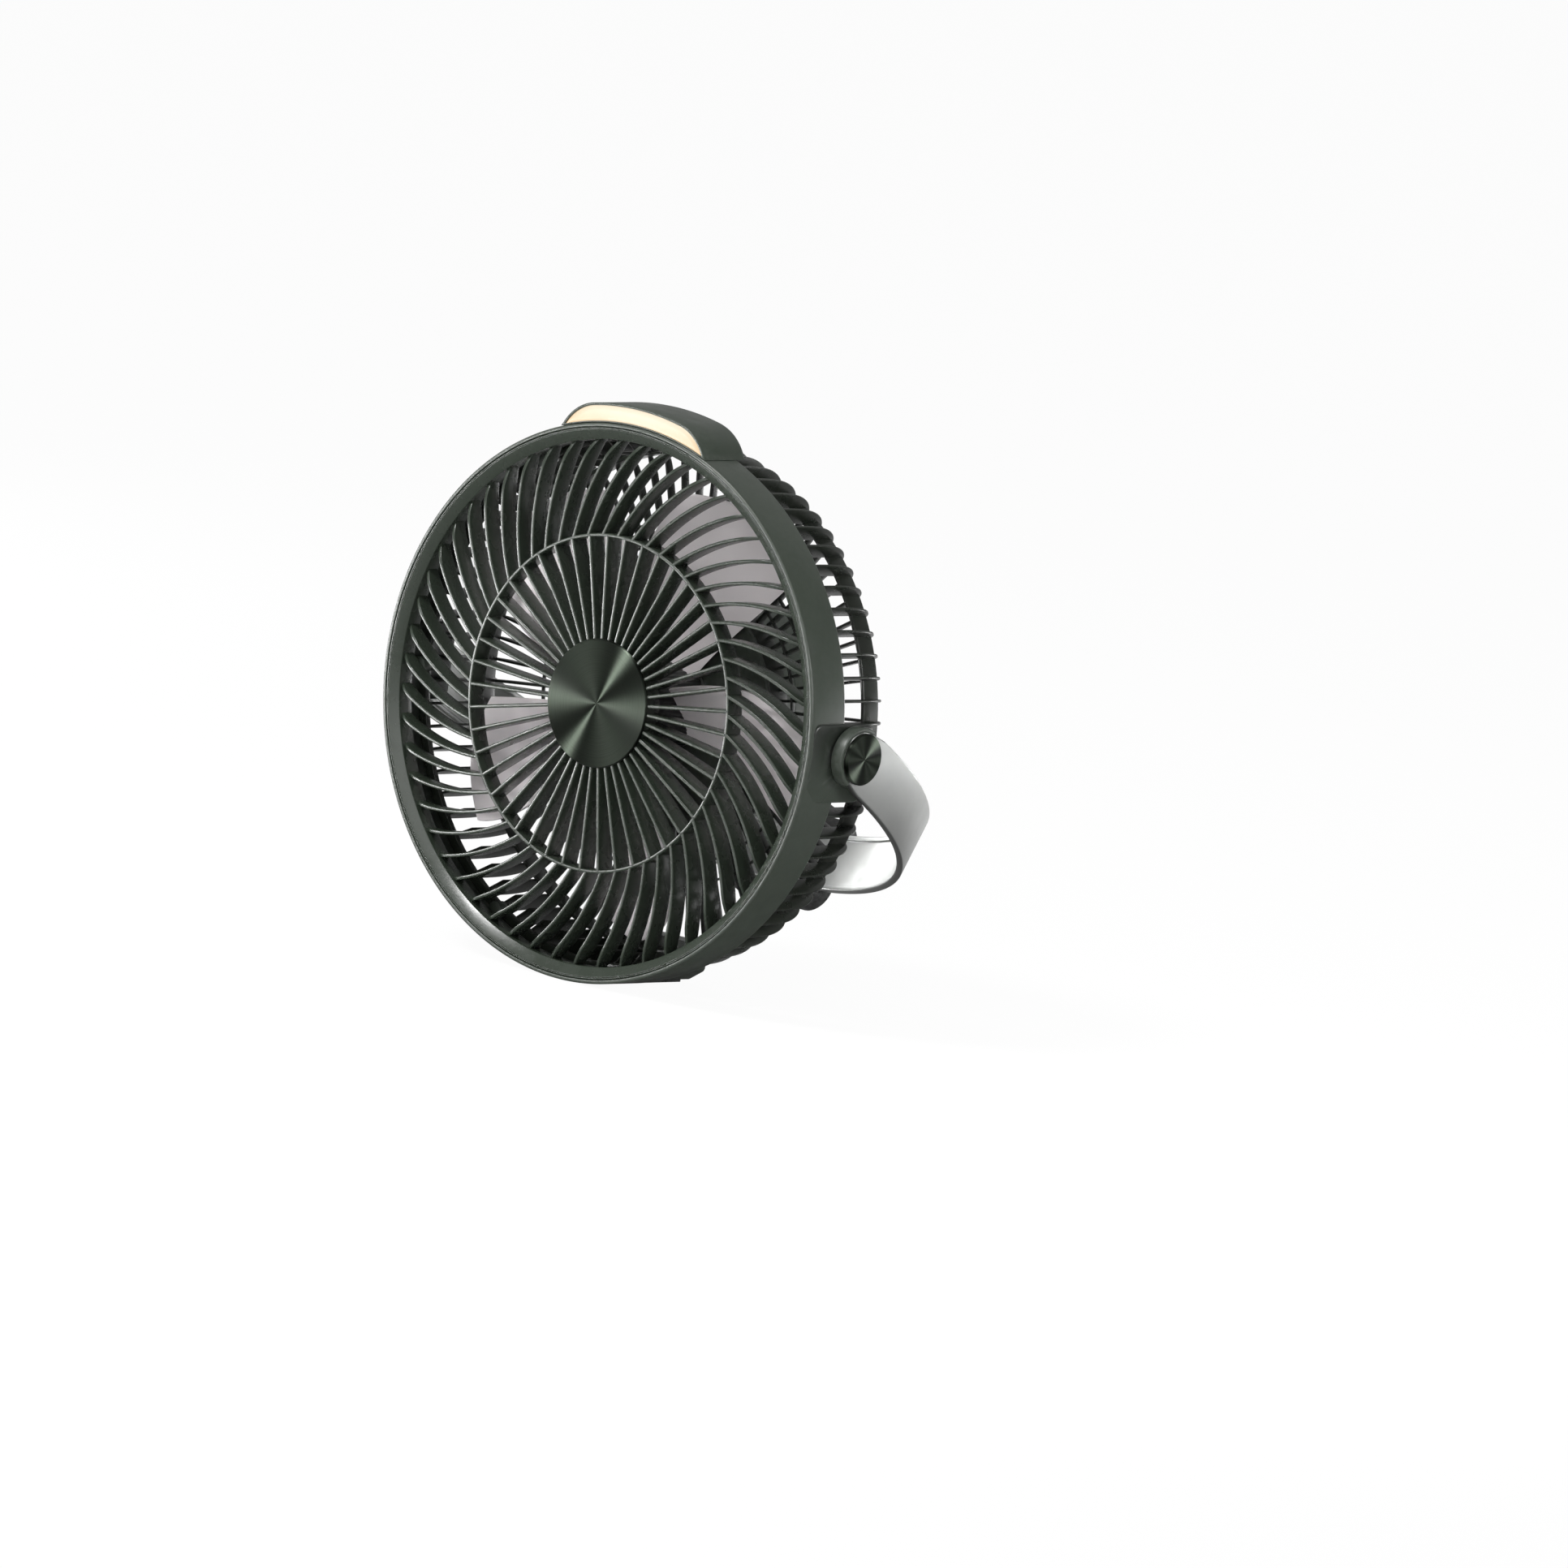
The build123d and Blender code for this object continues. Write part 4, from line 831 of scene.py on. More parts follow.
# ---------------------------------------------------------------- body
@dataclass
class BodyBand:
    """The ring that carries everything, with a pivot boss on each side and posts for the cage's screws."""

    radius: float = 110.0
    bore: float = 107.0
    depth: float = 20.5
    lip_wall: float = 1.6
    lip_depth: float = 3.2
    boss_face: float = 111.4
    boss_front: float = 1.5
    boss_ramp: float = 12.0
    boss_rear: float = 36.0
    boss_top: float = 12.4
    boss_low: float = -19.0
    boss_flat_low: float = -10.0
    boss_corner: float = 4.0
    boss_edge: float = 0.9
    post_radius: float = 3.4
    post_front: float = 12.9
    post_rear: float = 17.9

    def ring(self) -> Shell:
        """The band: a turned section with a sharp little lip at the front and a soft rear edge."""
        lip_radius = self.radius - self.lip_wall
        section = [
            (self.bore, self.lip_depth, 0.0),
            (lip_radius, self.lip_depth, 0.0),
            (lip_radius, 0.0, 0.3),
            (self.radius, 0.0, 0.6),
            (self.radius, self.depth, 1.2),
            (self.bore, self.depth, 0.4),
        ]
        return turned(rounded(section), RIM_SEGMENTS)

    def boss(self) -> Shell:
        """A plate with rounded corners on the band's right side.

        Its face is flat beside the pivot. Below the flat it follows a tangent to the band's circle, so it
        falls back by the tangent of that line's angle for each millimetre down. Towards the front it runs out
        into the band: it falls by the boss's height times one minus the share of the ramp's length.
        """
        ramp_end = self.boss_front + self.boss_ramp
        corner, bend = self.boss_corner, 1.0
        corners = [
            (self.boss_front, self.boss_low, corner),
            (ramp_end, self.boss_low, bend),
            (self.boss_rear, self.boss_low, corner),
            (self.boss_rear, self.boss_flat_low, bend),
            (self.boss_rear, self.boss_top, corner),
            (ramp_end, self.boss_top, bend),
            (self.boss_front, self.boss_top, corner),
            (self.boss_front, self.boss_flat_low, bend),
        ]
        outline = rounded(corners, 8)
        end = math.hypot(self.boss_face, self.boss_flat_low)
        line = math.acos(self.radius / end) - math.atan2(self.boss_flat_low, self.boss_face)
        back = math.sqrt(self.bore**2 - self.boss_low**2)
        thickness = self.boss_face - back
        middle = [(ramp_end + self.boss_rear) / 2, (self.boss_flat_low + self.boss_top) / 2, thickness]
        shares = np.array([0.75, 0.45, 0.15])[:, None, None]
        inner = np.insert(outline, 2, thickness, axis=1) * shares + np.array(middle) * (1 - shares)
        loops = np.concatenate([plate(outline, thickness, self.boss_edge), inner])
        depth, up, height = np.moveaxis(loops, -1, 0)
        fall = math.tan(line) * np.minimum(up - self.boss_flat_low, 0.0)
        ramp = np.clip((depth - self.boss_front) / self.boss_ramp, 0, 1)
        fall = fall - (self.boss_face - self.radius) * (1 - ramp)
        return skin(np.stack([back + height + fall * height / thickness, depth, up], -1))

    def posts(self) -> Shell:
        """Round posts inside the band that hold the cage's screws."""
        section = [
            (0.0, self.post_front, 0.0),
            (self.post_radius, self.post_front, 0.4),
            (self.post_radius, self.post_rear, 0.2),
            (0.0, self.post_rear, 0.0),
        ]
        return CAGE_SCREWS.repeat(turned(rounded(section, 3), 24))

    def dress(self, bench: Bench) -> None:
        """Make the ring and its bosses."""
        bench.piece("band", join(self.ring(), self.posts()), "body_band", "shell_green", SHELL_GREEN)
        # The bosses' colour carries painted shade: it darkens from the boss's low edge up to its top.
        painted_shade_finish = PaintedShadeFinish("boss_green_painted_shade", SHELL_GREEN.colour, SHELL_GREEN.roughness, grain_scale=3000.0,
                            worn_share=0.15, unshaded_z=bench.space.axis_z + self.boss_low * MM,
                            painted_shade_z=bench.space.axis_z + self.boss_top * MM)
        boss = self.boss()
        bench.piece("pivot_bosses", join(boss, boss.flipped_x()), "body_band", "shell_green", painted_shade_finish)


@dataclass
class FrontGuard:
    """Straight inner ribs, a mid ring and swept outer ribs in a sloping rim."""

    clear_radius: float = 103.4
    slope_depth: float = 2.6
    slope_top: float = 107.2
    face_depth: float = 0.3
    insert_radius: float = 108.2
    insert_depth: float = 3.0
    skirt_wall: float = 2.0
    skirt_depth: float = 10.0
    groove_radius: float = 107.55
    groove_half: float = 0.2
    groove_floor_half: float = 0.08
    groove_depth: float = 0.3
    mid_radius: float = 66.0
    rib_width: float = 1.4
    rib_front: float = 0.8
    rib_back: float = 9.3
    rib_edge: float = 0.35
    inner_count: int = 45
    outer_count: int = 55
    sweep: float = math.radians(16.5)
    arc_radius: float = 91.3
    bend_radius: float = 96.0
    bend_depth: float = 1.4
    tip_drop: float = 2.6
    seat_radius: float = 24.6
    seat_depth: float = 1.2
    seat_wall: float = 2.0

    def rim(self) -> Shell:
        """The sloping rim with a fine groove round its face and a skirt behind."""
        groove, face, soft = self.groove_radius, self.face_depth, 0.05
        floor = face + self.groove_depth
        skirt_radius = self.clear_radius + self.skirt_wall
        section = [
            (self.clear_radius, self.slope_depth, 0.5),
            (self.slope_top, face, 0.3),
            (groove - self.groove_half, face, soft),
            (groove - self.groove_floor_half, floor, soft),
            (groove + self.groove_floor_half, floor, soft),
            (groove + self.groove_half, face, soft),
            (self.insert_radius, face, 0.2),
            (self.insert_radius, self.insert_depth, 0.1),
            (skirt_radius, self.insert_depth, 0.2),
            (skirt_radius, self.skirt_depth, 0.3),
            (self.clear_radius, self.skirt_depth, 0.3),
        ]
        return turned(rounded(section, 4), RIM_SEGMENTS)

    def rib_line(self) -> Array:
        """Points of one swept rib: an arc through the mid ring and a point swept back at the rim."""
        start = np.array([self.mid_radius, 0.0])
        reach = self.clear_radius + self.skirt_wall / 2
        end = reach * np.array([math.cos(self.sweep), -math.sin(self.sweep)])
        chord = end - start
        half = np.linalg.norm(chord) / 2
        side = np.array([-chord[1], chord[0]]) / np.linalg.norm(chord)
        centre = (start + end) / 2 - side * math.sqrt(self.arc_radius**2 - half**2)
        half_angle = math.asin(half / self.arc_radius)
        middle = math.atan2(side[1], side[0])
        angles = np.linspace(middle + half_angle, middle - half_angle, 25)
        return centre + self.arc_radius * np.stack([np.cos(angles), np.sin(angles)], -1)

    def rib_front_depth(self, radius: Array) -> Array:
        """Depth of a swept rib's front edge: a gentle line, then a square law down to its tip."""
        gentle = np.interp(radius, [self.mid_radius, self.bend_radius], [self.rib_front, self.bend_depth])
        bend = np.clip((radius - self.bend_radius) / (self.clear_radius - self.bend_radius), 0, 1.15)
        return gentle + self.tip_drop * bend**2

    def outer_ribs(self) -> Shell:
        """All swept ribs."""
        line = self.rib_line()
        front = self.rib_front_depth(np.linalg.norm(line, axis=1))
        return bar(line, self.rib_width, front, self.rib_back, self.rib_edge).around(self.outer_count)

    def inner_ribs(self) -> Shell:
        """All straight ribs, from the hub's seat to the mid ring."""
        radius = np.linspace(self.seat_radius - 1.0, self.mid_radius, 6)
        line = np.stack([radius, 0 * radius], -1)
        front = np.full(len(line), self.rib_front)
        return bar(line, self.rib_width, front, self.rib_back, self.rib_edge).around(self.inner_count)

    def seat(self) -> Shell:
        """The cup behind the hub cap."""
        inner_radius, inner_depth = self.seat_radius - self.seat_wall, self.seat_depth + self.seat_wall
        section = [
            (0.0, self.seat_depth, 0.0),
            (self.seat_radius, self.seat_depth, 0.2),
            (self.seat_radius, self.rib_back, 0.4),
            (inner_radius, self.rib_back, 0.4),
            (inner_radius, inner_depth, 0.4),
            (0.0, inner_depth, 0.0),
        ]
        return turned(rounded(section, 3), 96)

    def mid_ring(self) -> Shell:
        """The ring that ties the straight and the swept ribs, as thick as they are."""
        inner, outer = self.mid_radius - self.rib_width / 2, self.mid_radius + self.rib_width / 2
        return ring_bar(inner, outer, self.rib_front, self.rib_back, self.rib_edge)

    def dress(self, bench: Bench) -> None:
        """Make the piece."""
        shell = join(self.rim(), self.outer_ribs(), self.mid_ring(), self.inner_ribs(), self.seat())
        bench.piece("guard", shell, "front_grille", "guard_green", GUARD_GREEN)


@dataclass
class HubCap:
    """The spun disc in the middle of the guard."""

    radius: float = 25.4
    thickness: float = 1.2
    bevel: float = 0.5

    def dress(self, bench: Bench) -> None:
        """Make the piece: a bare disc with a turned bevel."""
        section = [
            (0.0, self.thickness, 0.0),
            (self.radius, self.thickness, 0.1),
            (self.radius, self.bevel, 0.12),
            (self.radius - self.bevel, 0.0, 0.08),
            (0.0, 0.0, 0.0),
        ]
        shell = turned(rounded(section, 4), 256)
        # The hub disc's colour carries painted highlight lines at 60, 7 and 115 degrees.
        finish = replace(SPUN_GREEN, name="spun_hub_painted_highlights",
                         centre=(0.0, bench.space.front_y, bench.space.axis_z),
                         painted_streaks=((60.0, 100.0, 1.0), (7.0, 35.0, 0.46), (115.0, 9.0, 0.3)), painted_peak=11.0)
        bench.piece("hub_disc", shell, "hub_cap", "spun_green", finish, crease=25.0)


def from_top(angle: Any, radius: float = 1.0) -> Array:
    """A point x and up at an angle clockwise from the top, or one for each of several angles."""
    return radius * np.stack([np.sin(angle), np.cos(angle)], -1)


@dataclass
class Lamp:
    """The arched housing on the rim and its milky lens."""

    band_radius: float = 110.2
    rise: float = 7.6
    wall: float = 1.0
    low_wall: float = 0.5
    depth: float = 27.0
    top_angle: float = math.radians(15.4)
    foot_angle: float = math.radians(19.8)
    corner: float = 20.0
    side_reach: float = 14.0
    flank_points: int = 16
    crown_points: int = 25
    base_points: int = 29
    rear_edge: float = 3.4
    rear_closing: float = 0.46
    lens_set_back: float = 0.4
    lens_thickness: float = 2.5
    board_front: float = 9.0
    board_inset: float = 1.3
    board_thickness: float = 1.0

    def outline(self, inward: float, low_inward: float) -> Array:
        """The arched outline seen from the front: an arc about the fan's axis with a large round at each end.

        A round touches the top arc and the straight side, so its centre lies under the top by its radius.
        Each flank, from the round's start down to the band, is sampled evenly.

        Args:
            inward: how far the top and the sides move in.
            low_inward: how far the lower arc moves up.

        Returns:
            (n, 2) x and up, always with as many points.
        """
        top = self.band_radius + self.rise
        foot = from_top(self.foot_angle, self.band_radius)
        side = unit(foot - from_top(self.top_angle, top))
        lean = math.atan2(-side[1], side[0])
        reach = foot @ from_top(lean) - self.corner
        start = lean - math.acos(reach / (top - self.corner))
        centre = from_top(start, top - self.corner)
        arc = centre + from_top(np.linspace(start, lean, 60), self.corner - inward)
        straight = arc[-1:] + side * np.linspace(0.2, self.side_reach, 60)[:, None]
        path = np.concatenate([arc, straight])
        length = lengths(path)
        low = self.band_radius + low_inward
        end = np.interp(-low, -np.linalg.norm(path, axis=1), length)
        steps = np.linspace(0, end, self.flank_points)
        flank = np.stack([np.interp(steps, length, path[:, k]) for k in (0, 1)], -1)
        flank_foot = math.atan2(flank[-1, 0], flank[-1, 1])
        crown = from_top(np.linspace(-start, start, self.crown_points + 2)[1:-1], top - inward)
        base = from_top(np.linspace(flank_foot, -flank_foot, self.base_points + 2)[1:-1], low)
        return np.concatenate([flank[::-1] * [-1, 1], crown, flank, base])

    def loft(self, stations: list[tuple[float, float, float]]) -> Shell:
        """Join several outlines, each given by its inward move, its depth and its lower arc's upward move."""
        loops = [np.insert(self.outline(inward, low), 1, depth, axis=1) for inward, depth, low in stations]
        return skin(np.stack(loops))

    def housing(self) -> Shell:
        """A hood, open to the front: its outer wall, a soft rear edge, the front rim and the inner wall."""
        edge, rear_inside = self.rear_edge, self.depth - self.rear_edge
        stations = [(self.rear_closing * self.rise, self.depth, 0.3)]
        stations += [(edge * (1 - math.sin(a)), self.depth - edge * (1 - math.cos(a)), 0.0)
                     for a in np.linspace(0, math.pi / 2, 7)]
        stations += [
            (0.0, 12.0, 0.0),
            (0.0, 0.25, 0.0),
            (0.08, 0.08, 0.05),
            (0.25, 0.0, 0.1),
            (self.wall - 0.2, 0.0, self.low_wall - 0.1),
            (self.wall, 0.15, self.low_wall),
            (self.wall, rear_inside, self.low_wall),
            (self.rise / 2 - 0.1, rear_inside, self.rise / 4),
        ]
        return self.loft(stations)

    def lens(self) -> Shell:
        """The lens: a slab with softly rounded edges that fills the hood's mouth."""
        front, back = self.lens_set_back, self.lens_set_back + self.lens_thickness
        gap, low = self.wall + 0.05, self.low_wall
        return self.loft([
            (gap + 0.6, back, low),
            (gap, back - 0.3, low),
            (gap, front + 0.5, low),
            (gap + 0.12, front + 0.15, low),
            (gap + 0.5, front, low + 0.3),
            (gap + 2.2, front, low + 1.2),
        ])

    def board(self) -> Shell:
        """The board behind the lens, a flat strip of the hood's own outline."""
        low = self.low_wall + 0.4
        back = self.board_front + self.board_thickness
        return self.loft([(self.board_inset, self.board_front, low), (self.board_inset, back, low)])

    def dress(self, bench: Bench) -> None:
        """Make the hood, the lens and the board."""
        bench.piece("lamp_hood", self.housing(), "lamp_housing", "shell_green", SHELL_GREEN, crease=45.0)
        low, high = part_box("lamp_lens")
        glow = GlowFinish("lens_milky", (0.12, 0.1, 0.075), 0.35, low_z=low.z, high_z=high.z)
        bench.piece("lamp_diffuser", self.lens(), "lamp_lens", "lens", glow, crease=60.0)
        bench.piece("lamp_strip", self.board(), "lamp_board", "board", BOARD_GREEN)


# ---------------------------------------------------------------- rotor
@dataclass
class Rotor:
    """Five twisted blades on a dark, finely ribbed hub."""

    blade_count: int = 5
    first_angle: float = math.radians(59.7)
    root_radius: float = 19.0
    tip_radius: float = 93.5
    tip_round: float = 9.5
    mid_depth: float = 27.75
    thickness: float = 1.8
    edge: float = 0.35
    camber: float = 0.07
    stations: tuple[tuple[float, float, float, float], ...] = (
        (17.0, 20.0, 46.0, 3.0),
        (42.0, 35.0, 37.0, 7.5),
        (66.0, 47.0, 29.0, 7.0),
        (95.0, 47.0, 21.0, 0.0),
    )
    hub_radius: float = 20.0
    hub_front: float = 14.0
    hub_rear: float = 41.5
    hub_wall: float = 1.8
    hub_bevel: float = 3.0
    hub_ribs: int = 72
    groove_reach: float = 0.4
    groove_share: float = 0.9
    cap_radius: float = 5.5
    cap_height: float = 2.2

    def along(self, radius: Array, column: int) -> Array:
        """A station's value at any radius, on a cubic through the four stations."""
        table = np.array(self.stations)
        return np.polyval(np.polyfit(table[:, 0], table[:, column], 3), radius)

    def blade(self) -> Shell:
        """One blade.

        For a share c from -1 to 1 across it and a share v from root to tip, the radius is the root plus v
        times the reach, which is shorter towards both edges by the tip's rounding times c squared. The
        section is an arc with its camber to the rear, and its thickness falls off towards the edges as a root
        of 1 - c squared.
        """
        across = np.cos(np.linspace(0, math.pi, 33))
        loop = np.concatenate([across, across[-2:0:-1]])
        side = np.where(np.arange(len(loop)) < len(across), 1.0, -1.0)
        share = np.concatenate([np.linspace(0, 0.96, 28), 1 - 0.04 * np.linspace(1, 0, 6)[1:] ** 2])[:, None]
        reach = self.tip_radius - self.root_radius - self.tip_round * loop**2
        radius = self.root_radius + share * reach
        width, pitch, offset = (self.along(radius, column) for column in (1, 2, 3))
        pitch = np.radians(pitch)
        closing = np.sqrt(np.clip(1 - ((share - 0.97) / 0.03).clip(0, 1) ** 2, 0.02, 1))
        fullness = np.sqrt(np.clip(1 - loop**2, 0, 1))
        half_thick = closing * (self.edge + (self.thickness / 2 - self.edge) * fullness)
        half_thick *= np.where(abs(loop) > 0.999, 0.05, 1.0)
        bow = self.camber * width * (1 - loop**2) - side * half_thick
        forward = loop * width / 2 * np.tan(pitch)
        around = offset + loop * width / 2 + bow * np.sin(pitch)
        front = forward - bow * np.cos(pitch)
        x = radius * np.ones_like(around)
        turn = self.first_angle
        place_x = x * math.cos(turn) - around * math.sin(turn)
        place_up = x * math.sin(turn) + around * math.cos(turn)
        return skin(np.stack([place_x, self.mid_depth - front, place_up], -1))

    def hub(self) -> Shell:
        """The hub's sleeve: a turned cup whose side has fine grooves along the axis."""
        inside = self.hub_radius - self.hub_wall
        section = [
            (0.0, self.hub_front, 0.0),
            (self.hub_radius - self.hub_bevel, self.hub_front, 1.5),
            (self.hub_radius, self.hub_front + self.hub_bevel, 1.5),
            (self.hub_radius, self.hub_rear, 0.3),
            (inside, self.hub_rear, 0.3),
            (inside, self.hub_front + 5.0, 1.0),
            (0.0, self.hub_front + 4.0, 0.0),
        ]
        shell = turned(rounded(section), self.hub_ribs * 6)
        radius = np.hypot(shell.points[:, 0], shell.points[:, 2])
        angle = np.arctan2(shell.points[:, 2], shell.points[:, 0])
        skin_depth = np.clip(radius - self.hub_radius + self.groove_reach, 0, self.groove_reach)
        groove = skin_depth * (self.groove_share / 2) * (1 + np.cos(self.hub_ribs * angle))
        scale = (radius - groove) / np.maximum(radius, 1e-6)
        return replace(shell, points=shell.points * np.stack([scale, np.ones_like(scale), scale], -1))

    def cap(self) -> Shell:
        """The little cap that covers the shaft's end."""
        front, back = self.hub_front - self.cap_height, self.hub_front + 0.5
        radius = self.cap_radius
        section = [(0.0, front, 0.0), (radius, front, 1.0), (radius, back, 0.0), (0.0, back, 0.0)]
        return turned(rounded(section, 6), 64)

    def dress(self, bench: Bench) -> None:
        """Make the blades, the hub and its cap."""
        blades = self.blade().around(self.blade_count)
        bench.piece("blades", blades, "fan_rotor", "blade_grey", BLADE_GREY, crease=50.0)
        bench.piece("rotor_hub", self.hub(), "fan_rotor", "tray", HUB_DARK, crease=60.0)
        bench.piece("shaft_cap", self.cap(), "rotor_cap", "tray", HUB_DARK)


# ---------------------------------------------------------------- rear
@dataclass
class RearCage:
    """Thin fins between a flange in the band, a hoop near the rear and a collar round the drum."""

    depth: float = 57.5
    fin_count: int = 72
    fin_turn: float = math.radians(1.0)
    fin_width: float = 1.1
    fin_edge: float = 0.35
    fin_front: float = 19.5
    root_radius: float = 106.6
    flat_radius: float = 86.0
    fullness: float = 3.3
    root_inner: float = 103.0
    inner_radius: float = 98.6
    inner_front: float = 23.5
    hoop_radius: float = 99.0
    hoop_wall: float = 1.6
    hoop_front: float = 44.5
    hoop_rear: float = 53.6
    rib_depth: float = 4.0
    collar_radius: float = 46.8
    collar_wall: float = 2.0
    collar_front: float = 47.4
    flange_inner: float = 102.6
    flange_outer: float = 106.8
    flange_front: float = 17.9
    flange_back: float = 20.3
    ring_radii: tuple[float, ...] = (55.8, 63.8, 71.8)
    ring_width: float = 0.8

    def fins(self) -> Shell:
        """All fins.

        A fin is a thin plate. Its outer line is a quarter of a superellipse, from the root in the band to the
        flat rear: radius and depth share it as cos(t)^(2/n) and sin(t)^(2/n), with n the fullness. It then
        runs straight to the collar. Each of its points has a partner on the inner line, which goes in front
        of the flange, along the inside, behind the hoop and across the rear. Between the two lies a rectangle
        with rounded edges.
        """
        collar_middle = self.collar_radius + self.collar_wall / 2
        hoop_middle = self.hoop_radius - self.hoop_wall / 2
        turn = np.linspace(0, math.pi / 2, 19)
        power = 2 / self.fullness
        radius = self.flat_radius + (self.root_radius - self.flat_radius) * np.cos(turn).clip(0) ** power
        depth = self.fin_front + (self.depth - self.fin_front) * np.sin(turn) ** power
        outer = np.concatenate([np.stack([radius, depth], -1), [[collar_middle, self.depth]]])
        under = self.depth - self.rib_depth
        knots = np.array([
            (self.root_inner, self.fin_front),
            (self.root_inner, self.inner_front - 1),
            (self.inner_radius, self.inner_front + 1),
            (self.inner_radius, self.hoop_front + 1),
            (hoop_middle, self.hoop_front + 1.2),
            (hoop_middle, under),
            (self.flat_radius, under),
        ])
        run, length = lengths(knots), lengths(outer[:-1])
        steps = length / length[-1] * run[-1]
        inner = np.stack([np.interp(steps, run, knots[:, k]) for k in (0, 1)], -1)
        inner = np.concatenate([inner, [[collar_middle, under]]])
        inward = unit(inner - outer)
        corner_turn = np.linspace(0, math.pi / 2, 3)
        sink = self.fin_edge * (1 - np.sin(corner_turn))
        side = self.fin_width / 2 - self.fin_edge * (1 - np.cos(corner_turn))
        across = np.concatenate([-side, side[::-1], side, -side[::-1]])
        sinks = np.concatenate([sink, sink[::-1]])
        near_outer = outer[:, None] + inward[:, None] * sinks[None, :, None]
        near_inner = inner[:, None] - inward[:, None] * sinks[None, :, None]
        place = np.concatenate([near_outer, near_inner], 1)
        loops = np.stack([place[..., 0], place[..., 1], np.broadcast_to(across, place.shape[:2])], -1)
        return skin(loops).around(self.fin_count, self.fin_turn)

    def rings(self) -> Shell:
        """The flange in the band, the hoop and the collar."""
        edge = 0.4
        hoop_inner = self.hoop_radius - self.hoop_wall
        collar_outer = self.collar_radius + self.collar_wall
        return join(
            ring_bar(self.flange_inner, self.flange_outer, self.flange_front, self.flange_back, edge),
            ring_bar(hoop_inner, self.hoop_radius, self.hoop_front, self.hoop_rear, edge),
            ring_bar(self.collar_radius, collar_outer, self.collar_front, self.depth + 0.5, edge),
        )

    def lattice(self) -> Shell:
        """The thin rings that tie the rear ribs."""
        back = self.depth - self.rib_depth
        front, rear = back - 2 * self.ring_width, back + 0.2
        half = self.ring_width / 2
        return join(*[ring_bar(ring - half, ring + half, front, rear, 0.25) for ring in self.ring_radii])

    def dress(self, bench: Bench) -> None:
        """Make the cage, its rings and its screws."""
        # The cage and its rings get the darker copy of the guard's green, as painted shade.
        bench.piece("cage", join(self.fins(), self.rings()), "rear_cage", "guard_green", CAGE_GREEN_PAINTED_SHADE)
        bench.piece("cage_rings", self.lattice(), "rear_rings", "guard_green", CAGE_GREEN_PAINTED_SHADE)
        heads = CAGE_SCREWS.repeat(small_head().moved(depth=self.flange_back))
        bench.piece("cage_screw_heads", heads, "cage_screws", "steel", STEEL)


@dataclass
class RearDrum:
    """The battery drum's outside: packed shells with new screws and buttons."""

    rear: float = 84.0
    screw_sink: float = 3.0
    screw_pitch: float = 39.4
    screw_angles: tuple[float, ...] = (0.0, 180.0, 270.0)
    button_x: float = 13.0
    button_up: float = 30.0
    button_radius: float = 4.8
    button_base: float = 80.6
    button_top: float = 85.0
    button_flange: float = 1.0
    button_dish: float = 0.35

    def screws(self) -> Shell:
        """The sunk screw heads."""
        head = small_head().moved(depth=self.rear - self.screw_sink)
        turns = [math.radians(angle) for angle in self.screw_angles]
        pitch = self.screw_pitch
        return join(*[head.moved(x=pitch * math.cos(turn), up=pitch * math.sin(turn)) for turn in turns])

    def button(self) -> Shell:
        """A soft button with a dished top and a hidden flange."""
        radius, flange_radius = self.button_radius, self.button_radius + self.button_flange
        flange_rear = self.button_base + self.button_flange
        section = [
            (0.0, self.button_base, 0.0),
            (flange_radius, self.button_base, 0.1),
            (flange_radius, flange_rear, 0.1),
            (radius, flange_rear, 0.0),
            (radius, self.button_top, 0.6),
            (radius - 1.2, self.button_top, 0.8),
            (0.0, self.button_top - self.button_dish, 0.0),
        ]
        return turned(rounded(section), 96)

    def dress(self, bench: Bench) -> None:
        """Make the screws and the buttons, each button on its own body."""
        bench.piece("cover_screw_heads", self.screws(), "cover_screws", "steel", STEEL)
        for use, x in (("speed", -self.button_x), ("lamp", self.button_x)):
            key = replace(bench, body=f"{use}_key")
            button = self.button().moved(x=x, up=self.button_up)
            key.piece(f"{use}_key_top", button, f"{use}_button", "button", BUTTON_SOFT)


